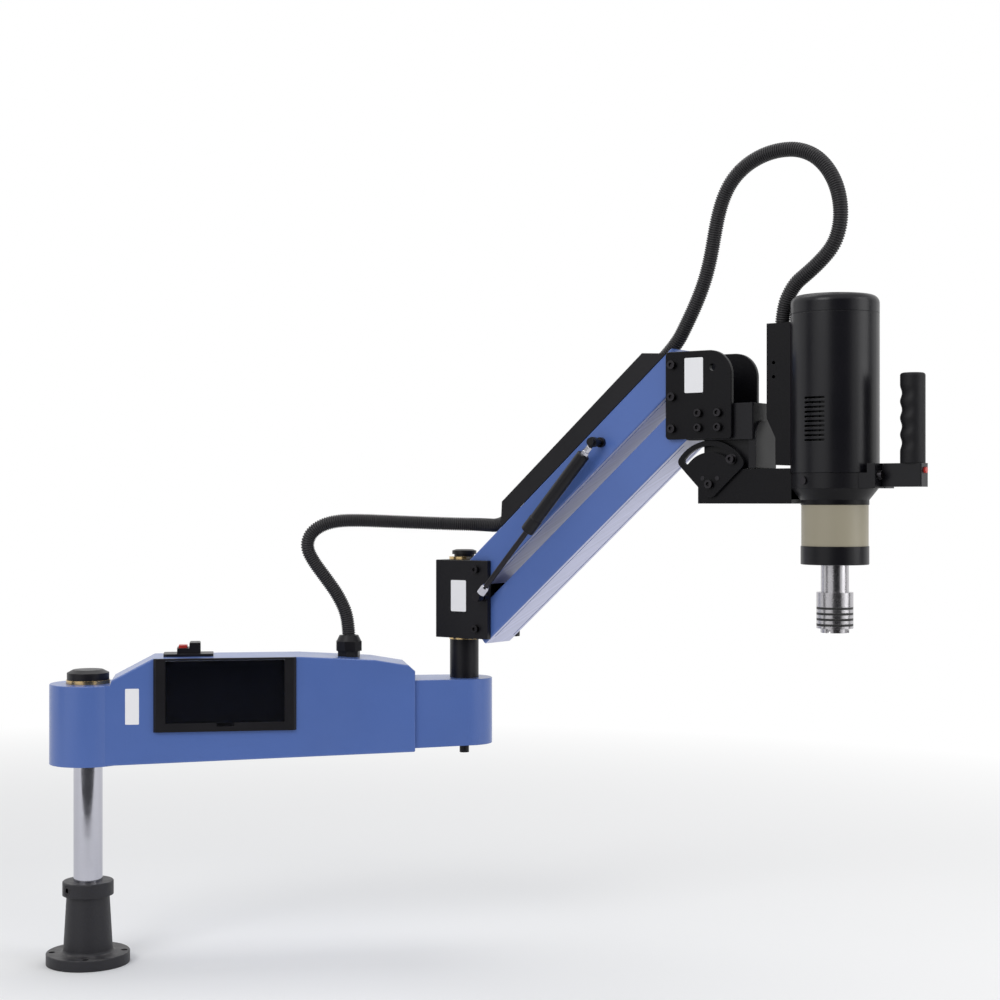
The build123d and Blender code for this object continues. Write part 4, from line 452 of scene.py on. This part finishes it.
OWN_FINISH = {}
for own, names in (
        ("bar_paint", ("upper_bar", "lower_bar")),
        ("blackened_steel", ("elbow_pins", "carrier_pins", "tilt_pin", "tilt_lock_bolt",
                             "clamp_screws", "gas_upper_stud", "gas_lower_stud", "gas_rod",
                             "base_lock_screws")),
        ("head_black", ("head_bar", "gearbox_housing", "front_cheek", "rear_cheek", "cable_box",
                        "tilt_sector"))):
    OWN_FINISH.update({name: own for name in names})


def dress_nodes():
    """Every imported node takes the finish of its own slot, and a few take their own."""
    slots = {part["node"]: part["material_slot"] for part in frame["record"]["subparts"]}
    for name, node in frame["nodes"].items():
        node.data.materials.clear()
        node.data.materials.append(FINISHES[OWN_FINISH.get(name, slots[name])])


# ------------------------------------------------------------------ mesh helpers
def piece(name, mesh, finish, body, smooth=True):
    """A mesh as an object that rides on a body."""
    obj = bpy.data.objects.new(name, mesh)
    bpy.context.scene.collection.objects.link(obj)
    mesh.materials.append(FINISHES[finish])
    if smooth:
        mesh.shade_smooth()
    if body:
        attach(obj, body)
    return obj


def mesh_from(bm, name, place=None):
    mesh = bpy.data.meshes.new(name)
    if place is not None:
        bm.transform(place)
    bmesh.ops.recalc_face_normals(bm, faces=bm.faces)
    bm.to_mesh(mesh)
    bm.free()
    return mesh


def merge(bm, part, place=None):
    """Add a part's mesh to another and free the part."""
    if place is not None:
        part.transform(place)
    copy = bpy.data.meshes.new("merged_part")
    part.to_mesh(copy)
    part.free()
    bm.from_mesh(copy)
    bpy.data.meshes.remove(copy)


def ring(bm, centre, x_axis, y_axis, radius, count):
    verts = []
    for i in range(count):
        angle = 2 * math.pi * i / count
        out = math.cos(angle) * x_axis + math.sin(angle) * y_axis
        verts.append(bm.verts.new(centre + radius * out))
    return verts


def bridge(bm, first, second):
    count = len(first)
    for i in range(count):
        bm.faces.new((first[i], first[(i + 1) % count], second[(i + 1) % count], second[i]))


def lathe(bm, profile, count=64, shape=None):
    """Turn (radius, z) points about Z; shape(angle, radius, z) may reshape the radius."""
    rows = []
    for radius, z in profile:
        row = []
        for i in range(count):
            angle = 2 * math.pi * i / count
            r = shape(angle, radius, z) if shape else radius
            row.append(bm.verts.new((r * math.cos(angle), r * math.sin(angle), z)))
        rows.append(row)
    for low, high in zip(rows, rows[1:]):
        bridge(bm, low, high)
    bm.faces.new(list(reversed(rows[0])))
    bm.faces.new(rows[-1])


def rounded_plate(name, width, height, thick, corner, place, finish, body):
    """A thin plate with round corners, in the XZ plane of `place`, standing out towards -Y."""
    bm = bmesh.new()
    outline = []
    for cx, cz, start in ((1, 1, 0), (-1, 1, 90), (-1, -1, 180), (1, -1, 270)):
        for step in range(7):
            angle = math.radians(start + step * 15)
            x = cx * (width / 2 - corner) + corner * math.cos(angle)
            z = cz * (height / 2 - corner) + corner * math.sin(angle)
            outline.append((x, z))
    back = [bm.verts.new((x, 0, z)) for x, z in outline]
    edge = [bm.verts.new((x, -thick * 0.7, z)) for x, z in outline]
    inset = 1 - thick * 0.6 / width
    front = [bm.verts.new((x * inset, -thick, z * inset)) for x, z in outline]
    bridge(bm, back, edge)
    bridge(bm, edge, front)
    bm.faces.new(front)
    bm.faces.new(list(reversed(back)))
    piece(name, mesh_from(bm, name, place), finish, body, smooth=False)


# ------------------------------------------------------------------ hoses
HOSE_R = 11.25 * mm
RIB_DEPTH = 1.7 * mm
RIB_PITCH = 3.6 * mm
HOSE_CUFF = 14 * mm
HOSE_SIDES = 26
LOWER_HOSE_SPLIT = 430 * mm
UPPER_HOSE_SPLIT = 330 * mm
LOWER_HOSE_ROUTE = [
    (427, 0, 515), (427, 0, 556), (411.5, 1, 594), (389, 3, 626), (367.5, 4, 655), (356.5, 4, 678),
    (362, 4, 700), (381, 3, 715), (409, 2, 722.5), (447, 0, 723), (494, -3, 721), (545, -8, 719),
    (597, -16, 717), (646, -27, 716), (681.9, -57.4, 713.6), (704.5, -79.1, 740.8),
]
UPPER_HOSE_ROUTE = [
    (377.3, 969.5), (408.7, 996.7), (430, 1033), (449, 1069), (462.5, 1102), (471, 1134), (477, 1165),
    (483.5, 1195), (493, 1223), (508, 1247.5), (531, 1267), (560, 1279.5), (590, 1284), (619, 1281.5),
    (646, 1269), (667, 1247), (681, 1219), (687, 1188), (685, 1158.5), (675, 1133), (656, 1113),
    (634, 1095.5), (610, 1079), (591.5, 1042), (591.5, 1001),
]


def smooth_line(name, points):
    """Points along a NURBS spline through the route, in the row frame."""
    curve = bpy.data.curves.new(name, "CURVE")
    curve.dimensions = "3D"
    spline = curve.splines.new("NURBS")
    spline.points.add(len(points) - 1)
    for target, point in zip(spline.points, points):
        target.co = (*point, 1)
    spline.order_u = 3
    spline.use_endpoint_u = True
    spline.resolution_u = 24
    guide = bpy.data.objects.new(name, curve)
    bpy.context.scene.collection.objects.link(guide)
    bpy.context.view_layer.update()
    graph = bpy.context.evaluated_depsgraph_get()
    mesh = bpy.data.meshes.new_from_object(guide.evaluated_get(graph))
    line = [v.co.copy() for v in mesh.vertices]
    bpy.data.objects.remove(guide)
    bpy.data.meshes.remove(mesh)
    return line


def cumulative(line):
    totals = [0.0]
    for a, b in zip(line, line[1:]):
        totals.append(totals[-1] + (b - a).length)
    return totals


def at_distance(line, totals, distance):
    """Place and heading at a distance along a line."""
    distance = min(max(distance, 0.0), totals[-1])
    low, high = 0, len(totals) - 1
    while high - low > 1:
        middle = (low + high) // 2
        if totals[middle] <= distance:
            low = middle
        else:
            high = middle
    a, b = line[low], line[high]
    length = max(totals[high] - totals[low], 1e-9)
    before = line[max(low - 1, 0)]
    after = line[min(high + 1, len(line) - 1)]
    return a.lerp(b, (distance - totals[low]) / length), (after - before).normalized()


# (share of the pitch, share of the rib's depth below the crest)
RIB_SHAPE = ((0.00, 1.0), (0.10, 0.86), (0.22, 0.25), (0.34, 0.0), (0.50, 0.0), (0.66, 0.0),
             (0.78, 0.25), (0.90, 0.86))


def ribbed_tube(name, line, start, end, steady):
    """Convoluted hose between two distances along a line: a rounded crest and valley per rib."""
    totals = cumulative(line)
    bm = bmesh.new()
    stations = []
    distance = start
    while distance < end - 1e-6:
        for share, depth in RIB_SHAPE:
            s = distance + share * RIB_PITCH
            if s >= end:
                break
            flat = s < HOSE_CUFF or s > totals[-1] - HOSE_CUFF
            stations.append((s, HOSE_R - (RIB_DEPTH if flat else RIB_DEPTH * depth)))
        distance += RIB_PITCH
    stations.append((end, HOSE_R - RIB_DEPTH))
    rows = []
    path = []
    for s, radius in stations:
        place, heading = at_distance(line, totals, s)
        side = (steady - heading * steady.dot(heading)).normalized()
        rows.append(ring(bm, place, side, heading.cross(side), radius, HOSE_SIDES))
        path.append(place)
    for first, second in zip(rows, rows[1:]):
        bridge(bm, first, second)
    bm.faces.new(list(reversed(rows[0])))
    bm.faces.new(rows[-1])
    mesh = mesh_from(bm, name)
    obj = piece(name, mesh, "hose_plastic", None)
    return obj, path[:: len(RIB_SHAPE)] + [path[-1]]


def hose(name, line, split, steady, node):
    """One hose drawn as two lengths that meet on the body between the two joints it crosses."""
    totals = cumulative(line)
    ends = ((0.0, split), (split, totals[-1]))
    for index, (start, end) in enumerate(ends):
        label = f"{name}_{'near' if index == 0 else 'far'}"
        tube, path = ribbed_tube(label, line, start, end, steady)
        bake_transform(tube)
        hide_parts(node)


def swung(u, z):
    """A point in the upper arm's middle plane, from mm in the swing frame."""
    return SWING @ Vector((u * mm, 0, z * mm))


def make_hoses():
    lower = smooth_line("lower_hose_guide", [Vector(p) * mm for p in LOWER_HOSE_ROUTE])
    upper = smooth_line("upper_hose_guide", [swung(u, z) for u, z in UPPER_HOSE_ROUTE])
    hose("hose_lower", lower, LOWER_HOSE_SPLIT, Vector((0, 1, 0)),
         "hose_lower")
    side = SWING.to_3x3() @ Vector((0, 1, 0))
    hose("hose_upper", upper, UPPER_HOSE_SPLIT, side,
         "hose_upper")


set_camera()
make_hoses()
dress_nodes()


# ------------------------------------------------------------------ screws
def cap_screw(bm, place, head_r, head_h, shank_r, length):
    """Knurled cap screw along +Z of `place`: its head stands on z = 0."""
    part = bmesh.new()
    ridges = 30
    profile = [(shank_r, -length), (shank_r, 0.0), (head_r * 0.97, 0.0), (head_r, head_h * 0.06),
               (head_r, head_h * 0.86), (head_r * 0.90, head_h)]

    def knurl(angle, radius, z):
        if radius < head_r * 0.985 or not head_h * 0.05 < z < head_h * 0.9:
            return radius
        return radius - head_r * 0.035 * (0.5 + 0.5 * math.cos(angle * ridges))

    lathe(part, profile, ridges * 4, knurl)
    bmesh.ops.recalc_face_normals(part, faces=part.faces)
    top = max(part.faces, key=lambda f: (round(f.calc_center_median().z, 6), f.calc_area()))
    bmesh.ops.inset_region(part, faces=[top], thickness=head_r * 0.30)
    socket = max(part.faces, key=lambda f: (round(f.calc_center_median().z, 6), len(f.verts)))
    for vert in socket.verts:
        angle = math.atan2(vert.co.y, vert.co.x)
        turn = (angle + math.pi / 6) % (math.pi / 3) - math.pi / 6
        reach = head_r * 0.50 / math.cos(turn)
        vert.co.x, vert.co.y = reach * math.cos(angle), reach * math.sin(angle)
    sunk = bmesh.ops.extrude_discrete_faces(part, faces=[socket])["faces"][0]
    for vert in sunk.verts:
        vert.co.z -= head_h * 0.55
    merge(bm, part, place)


def side_place(u, v, z, out):
    """Place in the swing frame with +Z pointing out of a side face: out is -1 for the front."""
    turn = Matrix.Rotation(math.radians(-90 * out), 4, "X")
    return SWING @ Matrix.Translation((u * mm, v * mm, z * mm)) @ turn


CHEEK_OUT_V = 46.0
CHEEK_SCREW_US = (475.06, 508.56)
CHEEK_SCREW_ZS = (867.0, 889.0)
SCREW_HEAD_R = 6.5 * mm
SCREW_HEAD_H = 7.0 * mm
SCREW_SHANK_R = 4.0 * mm
SCREW_LEN = 20 * mm


def make_screws():
    """The eight screws that hold the end plates to the block between them."""
    bm = bmesh.new()
    for u in CHEEK_SCREW_US:
        for z in CHEEK_SCREW_ZS:
            for out in (-1, 1):
                cap_screw(bm, side_place(u, out * CHEEK_OUT_V, z, out),
                          SCREW_HEAD_R, SCREW_HEAD_H, SCREW_SHANK_R, SCREW_LEN)
    name = "cheek_cap_screws"
    obj = piece(name, mesh_from(bm, name), "blackened_steel", "carrier", smooth=False)
    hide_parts("cheek_screws")


# ------------------------------------------------------------------ grip, gas spring and chuck
GRIP_R = 18 * mm
GRIP_H = 130 * mm
GRIP_TOP_R = 4 * mm
FINGER_PITCH = 24 * mm
FINGER_DEPTH = 3 * mm
FINGERS = 4


def make_grip():
    """Moulded rubber grip with finger hollows on the side that faces the machine."""
    first = HANDLE_TOP_Z + (GRIP_H - (FINGERS - 1) * FINGER_PITCH) / 2
    last = first + (FINGERS - 1) * FINGER_PITCH

    def hollow(angle, radius, z):
        if radius < GRIP_R * 0.99 or not first - FINGER_PITCH / 2 < z < last + FINGER_PITCH / 2:
            return radius
        side = max(0.0, -math.cos(angle)) ** 1.5
        wave = 0.5 + 0.5 * math.cos(2 * math.pi * (z - first) / FINGER_PITCH)
        return radius - FINGER_DEPTH * side * wave

    steps = 96
    profile = [(GRIP_R, HANDLE_TOP_Z + (GRIP_H - GRIP_TOP_R) * i / steps) for i in range(steps + 1)]
    for i in range(1, 9):
        angle = math.pi / 2 * i / 8
        profile.append((GRIP_R - GRIP_TOP_R * (1 - math.cos(angle)),
                        HANDLE_TOP_Z + GRIP_H - GRIP_TOP_R * (1 - math.sin(angle))))
    bm = bmesh.new()
    lathe(bm, profile, 72, hollow)
    centre = SWING @ Vector((GRIP_U, 0, 0))
    name = "handle_grip_moulding"
    grip = piece(name, mesh_from(bm, name, Matrix.Translation(centre)), "grip_rubber", "head")
    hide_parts("handle_grip")


def gas_lathe(name, profile, body, count):
    """A turned piece on the gas spring's axis, from (radius, distance from the lower eye) in mm."""
    bm = bmesh.new()
    lathe(bm, [(r * mm, x * mm) for r, x in profile], count)
    place = GAS @ Matrix.Rotation(math.radians(90), 4, "Y")
    piece(name, mesh_from(bm, name, place), "chromed_steel", body, smooth=False)


def make_gas_details():
    """Bright neck at the tube's end, and the bevelled clevis on the rod's foot."""
    top = GAS_LEN / mm
    gas_lathe("gas_neck", [(6.2, top - 26.4), (6.6, top - 25.5), (6.6, top - 20), (5.4, top - 19.2),
                           (5.4, top - 9.5), (5.0, top - 9)], "gas_tube", 6)
    gas_lathe("gas_clevis", [(5.5, 6), (7.4, 8), (7.4, 21), (6.2, 24)], "gas_rod_body", 8)


SLEEVE_BOTTOM_Z = 568.03
FIRST_GROOVE_UP = 5.2
GROOVE_PITCH = 8.2
RINGS = 4
RING_SEAT_R = 25.9
RING_DEPTH = 1.0
RING_HALF_H = 2.0


def make_chuck_rings():
    """Rubber rings in the grooves of the release sleeve."""
    bm = bmesh.new()
    steps = 12
    for i in range(RINGS):
        z = (SLEEVE_BOTTOM_Z + FIRST_GROOVE_UP + i * GROOVE_PITCH) * mm
        part = bmesh.new()
        profile = []
        for step in range(steps + 1):
            angle = -math.pi / 2 + math.pi * step / steps
            radius = RING_SEAT_R + RING_DEPTH * math.cos(angle) ** 0.5
            profile.append((radius * mm, z + RING_HALF_H * mm * math.sin(angle)))
        lathe(part, profile, 72)
        merge(bm, part)
    piece("chuck_sleeve_rings", mesh_from(bm, "chuck_sleeve_rings", HEAD), "seal_rubber", "sleeve")


make_grip()
make_gas_details()
make_chuck_rings()
make_screws()


# ------------------------------------------------------------------ blank plates
PLATE_THICK = 0.4 * mm
PLATES = (
    ("arm_plate", "lower_arm", Matrix(), (73.2, -54.0, 423), (22, 58), 1.5),
    ("elbow_plate", "elbow", SWING, (22.3, -47.0, 597.7), (31, 52), 2.0),
    ("cheek_plate", "carrier", SWING, (466, -46.0, 947), (32, 53.5), 2.0),
)


def make_plates():
    """Bare pale plates where a machine of this kind carries its labels."""
    for name, body, place, (x, y, z), (width, height), corner in PLATES:
        spot = place @ Matrix.Translation((x * mm, y * mm, z * mm))
        rounded_plate(name, width * mm, height * mm, PLATE_THICK, corner * mm, spot,
                      "plate_white", body)


make_plates()


# ------------------------------------------------------------------ floor and light
def seen_rays(tree):
    """1 on rays that are seen straight, in a reflection or through the smoked pane."""
    rays = tree.nodes.new("ShaderNodeLightPath")
    seen = maths(tree, "MAXIMUM", rays.outputs["Is Camera Ray"], rays.outputs["Is Glossy Ray"])
    return maths(tree, "MAXIMUM", seen, rays.outputs["Is Transmission Ray"])


FLOOR_SIZE = 14
FLOOR_PLACE = (0.5, 0, -0.0002)
FADE_START = 0.9
FADE_END = 3.2


def make_floor():
    """A pale floor that fades into a white surround."""
    bm = bmesh.new()
    bmesh.ops.create_grid(bm, x_segments=8, y_segments=8, size=FLOOR_SIZE)
    mesh = mesh_from(bm, "studio_floor", Matrix.Translation(FLOOR_PLACE))
    floor = bpy.data.objects.new("studio_floor", mesh)
    bpy.context.scene.collection.objects.link(floor)
    material = bpy.data.materials.new("studio floor")
    material.use_nodes = True
    tree = material.node_tree
    shader = tree.nodes["Principled BSDF"]
    shader.inputs["Base Color"].default_value = (0.86, 0.86, 0.86, 1)
    shader.inputs["Roughness"].default_value = 0.9
    shader.inputs["Specular IOR Level"].default_value = 0.1
    white = tree.nodes.new("ShaderNodeEmission")
    white.inputs["Strength"].default_value = 1.0
    place = tree.nodes.new("ShaderNodeTexCoord")
    reach = add(tree, "ShaderNodeVectorMath", operation="LENGTH")
    tree.links.new(place.outputs["Object"], reach.inputs[0])
    far = span(tree, reach.outputs["Value"], FADE_START, FADE_END)
    seen = seen_rays(tree)
    mix = tree.nodes.new("ShaderNodeMixShader")
    tree.links.new(maths(tree, "MULTIPLY", far, seen), mix.inputs["Fac"])
    tree.links.new(shader.outputs[0], mix.inputs[1])
    tree.links.new(white.outputs[0], mix.inputs[2])
    tree.links.new(mix.outputs[0], tree.nodes["Material Output"].inputs["Surface"])
    floor.data.materials.append(material)


def make_world():
    """Soft surround that lights the machine, pure white where it is seen."""
    world = bpy.data.worlds.new("studio")
    bpy.context.scene.world = world
    world.use_nodes = True
    tree = world.node_tree
    soft = tree.nodes["Background"]
    soft.inputs["Color"].default_value = (0.97, 0.98, 1.0, 1)
    soft.inputs["Strength"].default_value = 0.62
    white = tree.nodes.new("ShaderNodeBackground")
    white.inputs["Color"].default_value = (1, 1, 1, 1)
    white.inputs["Strength"].default_value = 1.0
    seen = seen_rays(tree)
    mix = tree.nodes.new("ShaderNodeMixShader")
    tree.links.new(seen, mix.inputs["Fac"])
    tree.links.new(soft.outputs[0], mix.inputs[1])
    tree.links.new(white.outputs[0], mix.inputs[2])
    tree.links.new(mix.outputs[0], tree.nodes["World Output"].inputs["Surface"])


def aimed(place, aim):
    return (Vector(aim) - Vector(place)).to_track_quat("-Z", "Y").to_euler()


def soft_box(name, place, aim, size, power):
    """A rectangular studio lamp."""
    data = bpy.data.lights.new(name, "AREA")
    data.shape = "RECTANGLE"
    data.size, data.size_y = size
    data.energy = power
    lamp = bpy.data.objects.new(name, data)
    bpy.context.scene.collection.objects.link(lamp)
    lamp.location = place
    lamp.rotation_euler = aimed(place, aim)


def dark_card(name, place, aim, size):
    """A black studio card, seen only in reflections, that gives bright metal its dark streaks."""
    bm = bmesh.new()
    bmesh.ops.create_grid(bm, x_segments=1, y_segments=1, size=0.5)
    card = bpy.data.objects.new(name, mesh_from(bm, name))
    bpy.context.scene.collection.objects.link(card)
    card.scale = (size[0], size[1], 1)
    card.location = place
    card.rotation_euler = aimed(place, aim)
    card.visible_camera = False
    card.visible_diffuse = False
    card.visible_shadow = False
    material = bpy.data.materials.new("studio card")
    material.use_nodes = True
    shader = material.node_tree.nodes["Principled BSDF"]
    shader.inputs["Base Color"].default_value = (0.02, 0.02, 0.022, 1)
    shader.inputs["Roughness"].default_value = 0.9
    card.data.materials.append(material)


make_floor()
make_world()
dark_card("card_front", (0.6, -5.0, 1.3), (0.6, 0, 1.3), (5.0, 3.2))
dark_card("card_floor", (0.6, -3.1, 0.02), (0.6, -3.1, 1.0), (5.0, 3.8))
dark_card("card_right", (4.2, -1.8, 1.0), (0.6, -0.2, 0.8), (2.6, 3.0))
dark_card("card_left", (-3.6, -0.6, 1.0), (0.2, -0.2, 0.8), (1.4, 3.0))
soft_box("key_left", (-1.6, -2.6, 2.6), (0.5, -0.2, 0.6), (1.8, 1.4), 40)
soft_box("fill_right", (3.0, -1.6, 1.4), (0.8, -0.3, 0.8), (1.2, 2.0), 22)
soft_box("top", (0.5, 0.4, 3.2), (0.5, -0.2, 0.5), (2.4, 1.6), 24)
bpy.context.scene.view_settings.view_transform = "Standard"
